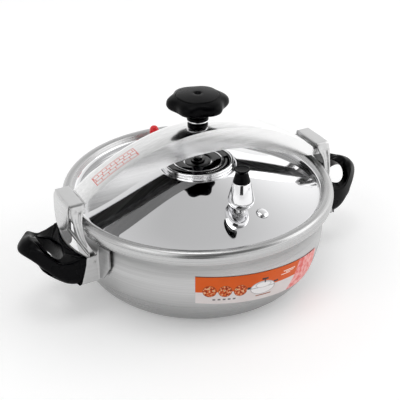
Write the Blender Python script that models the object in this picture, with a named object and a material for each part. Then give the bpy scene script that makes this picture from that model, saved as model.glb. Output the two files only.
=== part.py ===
"""Stovetop pressure cooker with a clamp bridge: a pot, a domed lid and the bridge and screw that
press the lid down. Units are metres, +Z is up, the bridge runs along X, and the origin is on the
surface that the cooker stands on, at the pot's axis."""

import math

import bmesh
import bpy
from mathutils import Matrix, Vector

MM = 0.001

# ---- driving dimensions, in millimetres ----
RIM_Z = 97.0                      # the plane of the lid's rim, which the other heights start from
RIM_R = 140.0                     # outer radius of the lid's rim
POT_R = 131.0                     # outer radius of the pot's wall
POT_WALL = 2.5
BASE_R = 97.0                     # radius of the flat base
CURVE_H = 60.0                    # height over which the wall curves in to the base
LID_TOP_Z = RIM_Z + 18.0          # floor of the recess in the lid's middle
RECESS_R = 38.6
DOME_EDGE_R = 123.5
BELL_TOP_Z = RIM_Z + 28.5         # the dome is a cosine bell: its height on the axis,
BELL_DROP = 37.9                  # how far the whole bell falls,
BELL_SPAN_R = 156.8               # and the radius at which it would be level again
SHEET = 2.0                       # thickness of the lid, bridge and hook sheet
GAP = 0.3                         # between touching pieces
BIG_STEPS = 48                    # facets round the pot, the lid and the gasket

BRIDGE_TOP_Z = RIM_Z + 66.0       # crown of the bridge
BRIDGE_ARC_R = 194.0
BRIDGE_HALF_W = 16.0
BRIDGE_SHOULDER_X = 131.0         # where the arch steps down to the seat under the hook
BRIDGE_SEAT_Z = RIM_Z + 15.2
BRIDGE_SEAT_END_X = 136.5         # beyond it the seat slopes down to the tip
BRIDGE_TIP_X = 142.0

HOOK_TOP_Z = RIM_Z + 22.0
TAB_INNER_X = 133.6               # edges of the hook's top plate
TAB_OUTER_X = 147.2
HOOK_HALF_W = 20.0
HOOK_LIP_Z = RIM_Z + 17.0         # lower edge of the lip that bears on the bridge's seat
LEG_SPLAY = 0.36                  # how far a leg spreads sideways for each unit of depth
HOOK_EYE_Y = 34.6                 # outer face of the legs where they are parallel, round the pin
HOOK_EYE_R = 3.4
HOOK_PIN_X = 133.4
HOOK_PIN_Z = RIM_Z - 34.0
HOOK_PIN_R = 1.8

BRACKET_HALF_W = 37.0
BRACKET_X = 138.8                 # corner of the side plate and the web, at its top edge
BRACKET_TOP_Z = RIM_Z - 28.0
BRACKET_BOTTOM_Z = RIM_Z - 56.5
BRACKET_SHEET = 1.8
WEB_BULGE = 7.5                   # how far the web's middle stands out past its corners
WEB_LEAN = 7.7                    # how much further out the web is at its bottom edge

HANDLE_TIP_X = 197.0
HANDLE_HALF_W = 38.0
OUTLINE_POWER_X = 2.0             # the handle's plan outline is a superellipse
OUTLINE_POWER_Y = 1.75
HANDLE_DIP = 3.0                  # how far its top face dips by the bracket
RIDGE_RISE = 16.5                 # and how far it then rises to the ridge
HOLE_X = 165.0                    # middle of the finger hole
HOLE_SEMI_X = 11.5
HOLE_SEMI_Y = 21.0

VALVE_XY = (3.8, -82.0)
INDICATOR_XY = (5.0, 114.0)
PLUG_XY = (23.0, -90.5)

KNOB_R = 31.4
KNOB_LOBES = 6
LOBE_TURN = math.radians(-18.0)   # where one lobe points, from +X
LOBE_DEPTH = 0.13                 # how much the radius changes between lobe and groove
SCREW_R = 5.9

SIDES = (("left", -1), ("right", 1))
ENDS = (("front", -1), ("back", 1))


# ---- helpers ----
def clear_scene():
    for obj in list(bpy.data.objects):
        bpy.data.objects.remove(obj)


def make_material(name, colour, metallic, roughness):
    made = bpy.data.materials.new(name)
    made.use_nodes = True
    shader = made.node_tree.nodes["Principled BSDF"]
    shader.inputs["Base Color"].default_value = (*colour, 1.0)
    shader.inputs["Metallic"].default_value = metallic
    shader.inputs["Roughness"].default_value = roughness
    return made


def finish_object(name, bm, material, place=(0, 0, 0), sharp_angle=35):
    """Turns bm, in millimetres about place, into a named object with its origin at place."""
    bmesh.ops.remove_doubles(bm, verts=bm.verts, dist=1e-4)
    bmesh.ops.recalc_face_normals(bm, faces=bm.faces)
    bmesh.ops.scale(bm, vec=(MM, MM, MM), verts=bm.verts)
    mesh = bpy.data.meshes.new(name)
    bm.to_mesh(mesh)
    bm.free()
    mesh.materials.append(material)
    mesh.shade_smooth()
    mesh.set_sharp_from_angle(angle=math.radians(sharp_angle))
    obj = bpy.data.objects.new(name, mesh)
    bpy.context.scene.collection.objects.link(obj)
    obj.location = Vector(place) * MM
    return obj


def spin_profile(profile, steps):
    """A bmesh turned about Z from a closed profile of (radius, z) points."""
    bm = bmesh.new()
    points = [bm.verts.new((r, 0, z)) for r, z in profile]
    edges = [bm.edges.new(pair) for pair in zip(points, points[1:])]
    if profile[0][0] > 0 or profile[-1][0] > 0:
        edges.append(bm.edges.new((points[-1], points[0])))
    bmesh.ops.spin(bm, geom=points + edges, cent=(0, 0, 0), axis=(0, 0, 1),
                   angle=2 * math.pi, steps=steps, use_merge=True)
    return bm


def turned(name, profile, material, steps=32, place=(0, 0, 0)):
    return finish_object(name, spin_profile(profile, steps), material, place)


def hide_cutter(cutter):
    cutter.hide_render = True
    cutter.display_type = "WIRE"


def drill(obj, name, radius, length, place, direction=(0, 0, 1), steps=24):
    """Cuts a round hole through obj, centred at place, in millimetres, along direction."""
    bm = bmesh.new()
    turn = Vector((0, 0, 1)).rotation_difference(Vector(direction)).to_matrix().to_4x4()
    bmesh.ops.create_cone(bm, cap_ends=True, segments=steps, radius1=radius, radius2=radius,
                          depth=length, matrix=turn)
    cutter = finish_object(name + "_cutter", bm, obj.data.materials[0], place)
    hide_cutter(cutter)
    cut = obj.modifiers.new(name, "BOOLEAN")
    cut.operation = "DIFFERENCE"
    cut.solver = "EXACT"
    cut.object = cutter


def loft(sections):
    """A closed bmesh through closed sections that have the same number of points."""
    bm = bmesh.new()
    rings = [[bm.verts.new(point) for point in section] for section in sections]
    for ring, following in zip(rings, rings[1:]):
        for i in range(len(ring)):
            j = (i + 1) % len(ring)
            bm.faces.new((ring[i], ring[j], following[j], following[i]))
    bm.faces.new(rings[0])
    bm.faces.new(reversed(rings[-1]))
    return bm


def arc_points(centre, radius, start, end, count):
    """Points on an arc in a plane, with its angles in degrees."""
    angles = [math.radians(start + (end - start) * i / count) for i in range(count + 1)]
    return [(centre[0] + radius * math.cos(a), centre[1] + radius * math.sin(a)) for a in angles]


def turn_to_side(bm, sign):
    """Turns a shape made for +X half round when it is for -X."""
    if sign < 0:
        bmesh.ops.rotate(bm, cent=(0, 0, 0), matrix=Matrix.Rotation(math.pi, 3, "Z"),
                         verts=bm.verts)


def dome_z(radius):
    """Height of the lid's outer surface, outside its recess, at a distance from the axis."""
    return BELL_TOP_Z - BELL_DROP * (1 - math.cos(math.pi * radius / BELL_SPAN_R)) / 2


def dome_normal(x, y):
    r = math.hypot(x, y)
    slope = BELL_DROP * math.pi / (2 * BELL_SPAN_R) * math.sin(math.pi * r / BELL_SPAN_R)
    return Vector((x / r * slope, y / r * slope, 1)).normalized()


# ---- pot ----
def wall_radius(z):
    """Outer radius of the pot's wall at a height."""
    if z >= CURVE_H:
        return POT_R
    return BASE_R + (POT_R - BASE_R) * math.sqrt(1 - (1 - z / CURVE_H) ** 2)


def make_pot(material):
    """A deep dish whose lip flares out to carry the gasket."""
    neck_z = RIM_Z - 13.0
    lip_z = RIM_Z - 5.6
    lip_r = POT_R + 5.2
    floor_t = 3.5
    outer = [(0, 0), (BASE_R, 0)]
    turns = 6
    for i in range(1, turns + 1):
        a = math.pi / 2 * i / turns
        outer.append((BASE_R + (POT_R - BASE_R) * math.sin(a), CURVE_H * (1 - math.cos(a))))
    outer += [(POT_R, neck_z), (POT_R + 1.2, neck_z + 2.6), (lip_r - 0.8, neck_z + 3.4),
              (lip_r, neck_z + 5.0), (lip_r - 0.6, lip_z - 0.4), (lip_r - 1.6, lip_z)]
    inner_r = POT_R - POT_WALL
    inner = [(POT_R + 0.4, lip_z), (inner_r + 0.6, lip_z - 1.6), (inner_r, neck_z + 1.0),
             (inner_r, CURVE_H)]
    for i in range(1, turns):
        a = math.pi / 2 * (1 - i / turns)
        inner.append((BASE_R + (inner_r - BASE_R) * math.sin(a),
                      floor_t + (CURVE_H - floor_t) * (1 - math.cos(a))))
    inner += [(BASE_R, floor_t), (0, floor_t)]
    return turned("pot_body", outer + inner, material, BIG_STEPS)


# ---- brackets and handles, made for +X and turned round for -X ----
def web_x(y, z):
    """X of the bracket web's inner face, which bows out between its corners and leans out below."""
    bow = WEB_BULGE * (1 - (y / BRACKET_HALF_W) ** 2)
    lean = WEB_LEAN * (BRACKET_TOP_Z - z) / (BRACKET_TOP_Z - BRACKET_BOTTOM_Z)
    return BRACKET_X + bow + lean


def bracket_path():
    """Stations along half the bracket's inner face, from its flange's end to the web's middle.

    Each station is (top point, bottom point), as (x, y, z)."""
    stations = []
    flange_r = POT_R + GAP + BRACKET_SHEET
    flange_top, flange_bottom = RIM_Z - 16.5, RIM_Z - 40.5
    for y, low in ((-52.5, RIM_Z - 36.5), (-48.0, flange_bottom - 5), (-43.5, RIM_Z - 53.0)):
        x = math.sqrt(flange_r ** 2 - y * y)
        stations.append(((x, y, flange_top), (x, y, low)))
    corner = math.sqrt(flange_r ** 2 - (BRACKET_HALF_W + 1.5) ** 2)
    y = -BRACKET_HALF_W
    stations.append(((corner, y - 1.5, flange_top), (corner, y - 1.5, RIM_Z - 53.5)))
    stations.append(((corner + 2.0, y, BRACKET_TOP_Z + 1.0), (corner + 2.0, y, BRACKET_BOTTOM_Z)))
    stations.append(((BRACKET_X - 1.5, y, BRACKET_TOP_Z),
                     (BRACKET_X + WEB_LEAN - 1.5, y, BRACKET_BOTTOM_Z)))
    for step in range(7):
        y = -(BRACKET_HALF_W - 0.8) * (1 - step / 6)
        stations.append(((web_x(y, BRACKET_TOP_Z), y, BRACKET_TOP_Z),
                         (web_x(y, BRACKET_BOTTOM_Z), y, BRACKET_BOTTOM_Z)))
    return stations


def offset_along(points, distance):
    """Moves each point of a plan curve sideways, to its right as it runs."""
    moved = []
    for i, (x, y, z) in enumerate(points):
        before = points[max(i - 1, 0)]
        after = points[min(i + 1, len(points) - 1)]
        along = Vector((after[0] - before[0], after[1] - before[1])).normalized()
        moved.append((x + along.y * distance, y - along.x * distance, z))
    return moved


def make_bracket(side, sign, material):
    half = bracket_path()
    mirrored = [tuple((x, -y, z) for x, y, z in station) for station in reversed(half[:-1])]
    path = half + mirrored
    tops = [station[0] for station in path]
    bottoms = [station[1] for station in path]
    sections = list(zip(tops, bottoms, offset_along(bottoms, BRACKET_SHEET),
                        offset_along(tops, BRACKET_SHEET)))
    bm = loft(sections)
    turn_to_side(bm, sign)
    return finish_object("bracket_" + side, bm, material, sharp_angle=25)


def smooth_rise(x, start, end):
    """0 before start, 1 after end, and a smooth rise between."""
    t = min(max((x - start) / (end - start), 0.0), 1.0)
    return t * t * (3 - 2 * t)


def handle_top_z(x):
    """The top face dips a little past the bracket, and curls up to a ridge near the tip."""
    dip = HANDLE_DIP * smooth_rise(x, 141, 157)
    return BRACKET_TOP_Z - dip + RIDGE_RISE * smooth_rise(x, 161, 184)


def handle_bottom_z(x):
    """The underside rises towards the tip."""
    along = max(0.0, (x - BRACKET_X) / (HANDLE_TIP_X - BRACKET_X))
    return RIM_Z - 58.0 + 5.0 * along + 25.0 * smooth_rise(x, 152, HANDLE_TIP_X) ** 1.25


def handle_outline():
    """Plan outline, counter-clockwise: the concave inner face, then the rounded outer side."""
    inner = []
    inner_steps = 8
    for i in range(inner_steps + 1):
        y = HANDLE_HALF_W * (1 - 2 * i / inner_steps)
        x = web_x(min(max(y, -BRACKET_HALF_W), BRACKET_HALF_W), BRACKET_TOP_Z)
        inner.append((x + BRACKET_SHEET + GAP, y))
    outer = []
    reach = HANDLE_TIP_X - BRACKET_X - BRACKET_SHEET - GAP
    outer_steps = 20
    for i in range(1, outer_steps):
        a = math.pi * i / outer_steps
        x = math.sin(a) ** (2 / OUTLINE_POWER_X)
        y = math.copysign(abs(math.cos(a)) ** (2 / OUTLINE_POWER_Y), -math.cos(a))
        outer.append((BRACKET_X + BRACKET_SHEET + GAP + reach * x, HANDLE_HALF_W * y))
    return inner, outer


def hole_point(x, y, grow):
    """The finger hole's edge in the direction of a plan point, seen from the hole's middle."""
    angle = math.atan2(y / HOLE_SEMI_Y, (x - HOLE_X) / HOLE_SEMI_X)
    c, s = math.cos(angle), math.sin(angle)
    power = 2 / 2.3
    return (HOLE_X + (HOLE_SEMI_X + grow) * math.copysign(abs(c) ** power, c),
            (HOLE_SEMI_Y + grow) * math.copysign(abs(s) ** power, s))


def lean_out(x, y, z, share):
    """Moves a point of the handle outwards with depth, as the bracket's web leans."""
    depth = (BRACKET_TOP_Z - z) / (BRACKET_TOP_Z - BRACKET_BOTTOM_Z)
    return (x + WEB_LEAN * share * depth, y, z)


def handle_side(x, y, on_web):
    """The points down the outside of the handle at one place of its plan outline."""
    inward = Vector((HOLE_X - x, -y)).normalized()
    top, low = handle_top_z(x), handle_bottom_z(x)
    if on_web:
        side = [(0.8, top), (0.0, top - 0.8), (0.0, low + 0.8), (0.8, low)]
        return [lean_out(x + inward.x * d, y + inward.y * d, z, 1.0) for d, z in side]
    inset = 1.2 + 11.0 * smooth_rise(x, 160, 195)
    shoulder = 1.5 + 2.0 * smooth_rise(x, 165, 190)
    side = [(inset, handle_top_z(x - inset)), (inset * 0.4, top - shoulder),
            (0.0, low + 4.0), (3.0, low)]
    return [(x + inward.x * d, y + inward.y * d, z) for d, z in side]


def handle_section(x, y, on_web):
    """A loop of points down the side at one place of the outline, and up through the hole."""
    edge, inner_lean = 1.8, 0.8
    hole, wide = hole_point(x, y, 0), hole_point(x, y, edge)
    low, top = handle_bottom_z(hole[0]), handle_top_z(hole[0])
    through = [(wide, low), (hole, low + edge), (hole, top - edge), (wide, top)]
    return handle_side(x, y, on_web) + [lean_out(*point, z, inner_lean) for point, z in through]


def make_handle(side, sign, material):
    """A thick loop with the finger hole through it."""
    inner, outer = handle_outline()
    sections = [handle_section(x, y, True) for x, y in inner]
    sections += [handle_section(x, y, False) for x, y in outer]
    bm = bmesh.new()
    rings = [[bm.verts.new(point) for point in section] for section in sections]
    for ring, following in zip(rings, rings[1:] + rings[:1]):
        for i in range(len(ring)):
            j = (i + 1) % len(ring)
            bm.faces.new((ring[i], ring[j], following[j], following[i]))
    turn_to_side(bm, sign)
    return finish_object("handle_" + side, bm, material, sharp_angle=50)


def handle_screw_frame(sign, end):
    """Where a handle screw meets the web's inner face, and its direction into the handle."""
    y = end * 24.0
    z = RIM_Z - 43.0
    slope_y = -2 * WEB_BULGE * y / BRACKET_HALF_W ** 2
    slope_z = -WEB_LEAN / (BRACKET_TOP_Z - BRACKET_BOTTOM_Z)
    direction = Vector((1, -slope_y, -slope_z)).normalized()
    point = Vector((web_x(y, z), y, z))
    if sign < 0:
        point.x, point.y = -point.x, -point.y
        direction.x, direction.y = -direction.x, -direction.y
    return point, direction


def make_handle_screw(name, point, direction, material):
    """A pan-head screw: its head sits on the web's inner face and its shank runs into the handle."""
    shank_r, head_r, head_h, reach = 2.0, 3.6, 2.2, 14.0
    profile = [(0, reach), (shank_r - 0.6, reach), (shank_r, reach - 1.5), (shank_r, -GAP),
               (head_r, -GAP), (head_r, -GAP - head_h * 0.55), (head_r * 0.6, -GAP - head_h),
               (0, -GAP - head_h)]
    screw = turned(name, profile, material, 16, point)
    screw.rotation_mode = "QUATERNION"
    screw.rotation_quaternion = Vector((0, 0, 1)).rotation_difference(direction)


def make_handle_screws(side, sign, bracket, handle, material):
    for end_name, end in ENDS:
        point, direction = handle_screw_frame(sign, end)
        for obj in (bracket, handle):
            drill(obj, obj.name + "_" + end_name + "_screw_hole", 2.4, 32.0, point, direction, 16)
        make_handle_screw("handle_screw_" + side + "_" + end_name, point, direction, material)


def make_hook_pin(side, sign, bracket, material):
    """A pin held flush in the bracket's side plates, which the hook swings on."""
    half = BRACKET_HALF_W + BRACKET_SHEET
    chamfer = 0.3
    profile = [(0, half), (HOOK_PIN_R - chamfer, half), (HOOK_PIN_R, half - chamfer),
               (HOOK_PIN_R, chamfer - half), (HOOK_PIN_R - chamfer, -half), (0, -half)]
    place = (sign * HOOK_PIN_X, 0, HOOK_PIN_Z)
    pin = turned("hook_pin_" + side, profile, material, 16, place)
    pin.rotation_euler = (math.pi / 2, 0, 0)
    drill(bracket, "pin_hole_" + side, HOOK_PIN_R + GAP, 100.0, place, (0, 1, 0), 16)


# ---- hooks ----
def sheet_object(name, bm, material, place):
    """An open surface given the sheet's thickness on its inner side."""
    bmesh.ops.scale(bm, vec=(MM, MM, MM), verts=bm.verts)
    mesh = bpy.data.meshes.new(name)
    bm.to_mesh(mesh)
    bm.free()
    mesh.materials.append(material)
    obj = bpy.data.objects.new(name, mesh)
    bpy.context.scene.collection.objects.link(obj)
    obj.location = place * MM
    solid = obj.modifiers.new("sheet", "SOLIDIFY")
    solid.thickness = SHEET * MM
    solid.offset = -1
    solid.use_even_offset = True
    return obj


def leg_outline():
    """(z, inner x, outer x) of a hook's leg, from the top bend down to the pin."""
    return [
        (HOOK_TOP_Z - 1.5, TAB_INNER_X, TAB_OUTER_X), (RIM_Z + 14.0, 134.6, 147.8),
        (RIM_Z + 9.5, 137.6, 147.4), (RIM_Z + 4.0, 138.6, 146.6),
        (RIM_Z - 4.0, 138.8, 145.4), (RIM_Z - 11.0, 138.4, 143.6),
        (RIM_Z - 17.0, 136.4, 140.4), (RIM_Z - 22.0, 133.6, 137.8),
        (RIM_Z - 27.0, 131.2, 136.0),
    ]


def leg_y(z):
    """Outer face of a hook's leg: it spreads with depth, and is upright round the pin."""
    return min(HOOK_HALF_W + LEG_SPLAY * (HOOK_TOP_Z - z), HOOK_EYE_Y)


def lobe_outline():
    """(x, z, half width) of the outer lobe, from the top plate's edge down to its rounded end."""
    return [
        (149.6, HOOK_TOP_Z - 1.4, 17.6), (150.6, RIM_Z + 17.0, 18.2), (150.9, RIM_Z + 10.0, 18.2),
        (151.2, RIM_Z + 3.0, 18.0), (151.7, RIM_Z - 2.0, 16.6), (152.3, RIM_Z - 6.0, 13.8),
        (152.8, RIM_Z - 9.0, 10.2), (153.2, RIM_Z - 11.5, 5.0),
    ]


def add_tab(bm, ys):
    """The hook's top plate. Returns its rows of points on the inner and the outer edge."""
    inner_row = [bm.verts.new((TAB_INNER_X, y, HOOK_TOP_Z)) for y in ys]
    outer_row = [bm.verts.new((TAB_OUTER_X, y, HOOK_TOP_Z)) for y in ys]
    for i in range(len(ys) - 1):
        bm.faces.new((inner_row[i], outer_row[i], outer_row[i + 1], inner_row[i + 1]))
    lip_row = [bm.verts.new((TAB_INNER_X, y, HOOK_LIP_Z)) for y in ys[1:-1]]
    for i in range(len(lip_row) - 1):
        bm.faces.new((lip_row[i], inner_row[i + 1], inner_row[i + 2], lip_row[i + 1]))
    return inner_row, outer_row


def add_lobe(bm, row):
    for x, z, half in lobe_outline():
        following = [bm.verts.new((x, y, z)) for y in (-half, 0.0, half)]
        for i in range(2):
            bm.faces.new((row[i], following[i], following[i + 1], row[i + 1]))
        row = following


def add_leg(bm, end, pair):
    """A leg from the tab's end down to the rounded eye. end is -1 or 1."""
    for z, x_in, x_out in leg_outline():
        following = [bm.verts.new((x, end * leg_y(z), z)) for x in (x_in, x_out)]
        bm.faces.new((pair[0], pair[1], following[1], following[0]))
        pair = following
    eye = [bm.verts.new((x, end * HOOK_EYE_Y, z)) for x, z in
           arc_points((HOOK_PIN_X, HOOK_PIN_Z), HOOK_EYE_R, 180, 360, 8)]
    bm.faces.new([pair[0], *eye, pair[1]])


def make_hook(side, sign, material):
    """A folded stirrup: a tab over the bridge's seat with a lip, two legs to the pin, and a lobe."""
    bm = bmesh.new()
    tab_y, lobe_y = HOOK_HALF_W - 1.5, 17.6
    inner_row, outer_row = add_tab(bm, (-tab_y, -lobe_y, 0.0, lobe_y, tab_y))
    add_lobe(bm, outer_row[1:4])
    for end, index in ((-1, 0), (1, -1)):
        add_leg(bm, end, [inner_row[index], outer_row[index]])

    place = Vector((HOOK_PIN_X, 0, HOOK_PIN_Z))
    bmesh.ops.translate(bm, vec=-place, verts=bm.verts)
    bmesh.ops.recalc_face_normals(bm, faces=bm.faces)
    top_face = max(bm.faces, key=lambda face: face.calc_center_median().z)
    if top_face.normal.z < 0:
        bmesh.ops.reverse_faces(bm, faces=bm.faces)
    turn_to_side(bm, sign)
    place.x *= sign
    hook = sheet_object("hook_" + side, bm, material, place)
    drill(hook, "eye_" + side, HOOK_PIN_R + GAP, 80.0, place, (0, 1, 0), 16)


# ---- lid ----
def make_lid(material):
    """A dome with a recess for the pressure plate in its middle.

    Its edge rises from a trough into a rounded rim, open below as the gasket's channel."""
    lip_r = RECESS_R + 1.4
    rings = 7
    radii = [lip_r + (DOME_EDGE_R - lip_r) * i / rings for i in range(rings + 1)]
    outer = [(0, LID_TOP_Z), (RECESS_R, LID_TOP_Z), (RECESS_R + 0.2, dome_z(lip_r) - 0.6)]
    outer += [(r, dome_z(r)) for r in radii]
    outer += [(125.4, RIM_Z - 5.5), (127.4, RIM_Z - 4.2), (128.8, RIM_Z - 1.6),
              (130.2, RIM_Z + 1.1), (132.8, RIM_Z + 2.3), (135.8, RIM_Z + 2.0),
              (138.4, RIM_Z + 0.2), (139.7, RIM_Z - 2.4), (RIM_R, RIM_Z - 5.0),
              (139.7, RIM_Z - 9.0), (138.8, RIM_Z - 10.8)]
    inner = [(137.9, RIM_Z - 10.8), (138.0, RIM_Z - 5.0), (137.6, RIM_Z - 2.6),
             (136.4, RIM_Z - 0.8), (134.6, RIM_Z + 0.2), (132.8, RIM_Z + 0.2),
             (131.4, RIM_Z - 0.8), (130.4, RIM_Z - 3.0), (129.0, RIM_Z - 6.0),
             (127.0, RIM_Z - 7.4)]
    inner += [(r, dome_z(r) - SHEET) for r in reversed(radii[1:])]
    inner += [(lip_r + 0.8, LID_TOP_Z - SHEET), (0, LID_TOP_Z - SHEET)]
    return turned("lid", outer + inner, material, BIG_STEPS)


def make_gasket(material):
    top, low = RIM_Z - 1.6, RIM_Z - 5.2
    profile = [(131.8, top - 2.2), (132.6, top), (136.0, top), (137.2, top - 1.4),
               (137.4, low - 3.0), (136.7, low - 3.0), (136.5, low), (131.6, low)]
    turned("gasket", profile, material, BIG_STEPS)


def make_pressure_plate(material):
    """A dish in the lid's recess: a rim, a floor for the insert, and a well for the foot."""
    low = LID_TOP_Z + GAP
    profile = [(0, LID_TOP_Z + 3.5), (13.6, LID_TOP_Z + 3.5), (13.6, LID_TOP_Z + 6.2),
               (33.6, LID_TOP_Z + 6.2), (34.0, LID_TOP_Z + 9.4), (35.2, LID_TOP_Z + 10.0),
               (36.4, LID_TOP_Z + 9.3), (36.8, LID_TOP_Z + 7.6), (36.9, LID_TOP_Z + 4.2),
               (37.7, LID_TOP_Z + 3.2), (38.0, LID_TOP_Z + 1.2), (37.6, low), (0, low)]
    turned("pressure_plate", profile, material, 32)


def make_plate_insert(material):
    low = LID_TOP_Z + 6.2 + GAP
    profile = [(14.6, low), (14.6, low + 1.4), (15.2, low + 1.8), (32.6, low + 1.8),
               (33.2, low + 1.2), (33.2, low)]
    turned("plate_insert", profile, material, 32)


def make_screw_foot(material):
    """A shouldered disc with a socket that the screw's end turns in."""
    low = LID_TOP_Z + 3.5 + GAP
    profile = [(0, low), (12.0, low), (12.0, low + 1.8), (6.6, low + 2.6), (6.6, low + 5.4),
               (4.6, low + 5.4), (4.6, low + 1.8), (0, low + 1.8)]
    turned("screw_foot", profile, material, 16)


def make_foot_ring(material):
    low = LID_TOP_Z + 3.5 + GAP + 1.8 + GAP + 0.6
    profile = [(7.2, low), (13.2, low), (13.2, low + 1.2), (7.2, low + 1.2)]
    turned("foot_retaining_ring", profile, material, 20)


def make_safety_plug(lid, material):
    """A low domed plug through the lid, square to the dome."""
    x, y = PLUG_XY
    normal = dome_normal(x, y)
    point = Vector((x, y, dome_z(math.hypot(x, y))))
    drill(lid, "plug_hole", 3.6, 12.0, point, normal, 16)
    profile = [(0, 2.3), (2.8, 2.1), (5.0, 1.5), (6.2, GAP + 0.3), (6.2, GAP), (3.2, GAP),
               (3.2, -3.4), (2.6, -4.0), (0, -4.0)]
    plug = turned("safety_plug", profile, material, 20, point)
    plug.rotation_mode = "QUATERNION"
    plug.rotation_quaternion = Vector((0, 0, 1)).rotation_difference(normal)


# ---- vent and weight valve ----
def make_vent(lid, polished, steel):
    """A pipe through the lid with a shoulder above it, and a nut and a strainer below it."""
    x, y = VALVE_XY
    lid_z = dome_z(math.hypot(x, y))
    shoulder_r, shoulder_z = 6.8, lid_z + 3.0
    pipe_top = lid_z + 19.0
    low = lid_z - 13.0
    drill(lid, "vent_hole", 4.4, 16.0, (x, y, lid_z), steps=16)
    pipe = [(1.2, low), (4.0, low), (4.0, shoulder_z), (shoulder_r, shoulder_z),
            (shoulder_r, shoulder_z + 0.9), (3.4, shoulder_z + 1.4), (3.2, pipe_top - 2),
            (2.0, pipe_top), (1.2, pipe_top)]
    turned("vent_pipe", pipe, steel, 16, (x, y, 0))
    nut_top = lid_z - SHEET - 3.5
    nut_r, nut_steps = 7.6, 18
    nut = spin_profile([(4.3, nut_top - 3.6), (nut_r, nut_top - 3.6), (nut_r, nut_top),
                        (4.3, nut_top)], nut_steps)
    make_hexagonal(nut, nut_r)
    finish_object("vent_nut", nut, steel, (x, y, 0))
    strainer_top = nut_top - 3.6 - GAP
    strainer = [(4.3, strainer_top), (5.8, strainer_top), (5.6, low - 2.6), (4.2, low - 3.6),
                (1.5, low - 3.6), (1.5, low - 2.4), (4.3, low - 1.8)]
    turned("vent_strainer", strainer, polished, 16, (x, y, 0))


def make_hexagonal(bm, radius):
    """Pulls the outer points of a turned ring in to a hexagon across its corners."""
    flat = radius * math.cos(math.pi / 6)
    for vert in bm.verts:
        r = math.hypot(vert.co.x, vert.co.y)
        if r > radius - 0.1:
            off = (math.atan2(vert.co.y, vert.co.x) % (math.pi / 3)) - math.pi / 6
            scale = flat / math.cos(off) / r
            vert.co.x *= scale
            vert.co.y *= scale


def make_weight(chrome, black):
    """A conical weight that sits over the vent pipe, and the waisted cap it is lifted by."""
    x, y = VALVE_XY
    low = dome_z(math.hypot(x, y)) + 4.9
    top = low + 27.0
    body = [(4.2, low), (7.0, low), (10.8, low + 2.4), (12.7, low + 6.2), (13.0, low + 9.2),
            (12.5, low + 12.4), (8.6, top - 0.5), (8.1, top), (4.0, top), (4.0, top + 4.0),
            (0, top + 4.0)]
    bore = [(0, low + 17.5), (4.2, low + 16.0)]
    turned("weight_body", body + bore, chrome, 20, (x, y, 0))
    base = top + GAP
    cap = [(4.3, base), (8.3, base), (7.5, base + 3.0), (6.3, base + 6.8), (6.5, base + 9.2),
           (8.1, base + 12.2), (7.8, base + 13.0), (5.0, base + 13.5), (0, base + 13.6),
           (0, base + 4.6), (4.3, base + 4.2)]
    turned("weight_cap", cap, black, 16, (x, y, 0))


# ---- pressure indicator ----
def make_indicator(lid, steel, red, rubber):
    """A stem that steam lifts through a seat bush in the lid, with a red cap on top."""
    x, y = INDICATOR_XY
    lid_z = dome_z(math.hypot(x, y))
    seat = lid_z + 4.8
    drill(lid, "indicator_hole", 4.2, 16.0, (x, y, lid_z), steps=16)
    bush = [(2.4, lid_z - 7.0), (3.8, lid_z - 7.0), (3.8, seat), (6.8, seat),
            (6.8, seat + 2.0), (5.6, seat + 3.6), (2.4, seat + 3.6)]
    turned("indicator_bush", bush, rubber, 16, (x, y, 0))
    stem_top = seat + 10.0
    stem = [(0, lid_z - 15.5), (2.1, lid_z - 15.5), (2.1, lid_z - 14.1), (1.4, lid_z - 14.1),
            (1.4, lid_z - 12.7), (2.1, lid_z - 12.7), (2.1, stem_top), (0, stem_top)]
    turned("indicator_stem", stem, steel, 16, (x, y, 0))
    base = seat + 3.6 + GAP
    cap = [(2.4, base), (5.0, base), (5.1, base + 4.5), (4.5, base + 7.2), (2.6, base + 9.0),
           (0, base + 9.6), (0, stem_top + GAP), (2.4, stem_top + GAP)]
    turned("indicator_cap", cap, red, 20, (x, y, 0))
    clip = [(1.7, lid_z - 13.9), (4.0, lid_z - 13.9), (4.0, lid_z - 13.0), (1.7, lid_z - 13.0)]
    turned("indicator_clip", clip, steel, 16, (x, y, 0))


# ---- bridge, screw and knob ----
def arch_z(x):
    """Top of the bridge: an arc that flattens a little towards its ends."""
    arc = BRIDGE_TOP_Z - BRIDGE_ARC_R + math.sqrt(BRIDGE_ARC_R ** 2 - x * x)
    return arc + 3.3 * (x / BRIDGE_SHOULDER_X) ** 4


def flange_z(x):
    """Lower edge of the bridge's side flanges: deep at the crown and shallow at the tips."""
    t = abs(x) / RIM_R
    return RIM_Z + 24.0 + 16.8 * math.cos(math.pi * t ** 1.27)


def bridge_section(x, top, low):
    """An inverted U with chamfered shoulders, in the plane at x."""
    w, t, c = BRIDGE_HALF_W, SHEET, 2.6
    outside = [(w, low), (w, top - c), (w - c * 0.35, top - c * 0.35), (w - c, top)]
    inside = [(w - c - 0.3, top - t), (w - t, max(top - t - c * 0.7, low + 0.3)), (w - t, low)]
    half = outside + [(-y, z) for y, z in reversed(outside)]
    half += [(-y, z) for y, z in reversed(inside)] + inside
    return [(x, y, z) for y, z in half]


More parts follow.
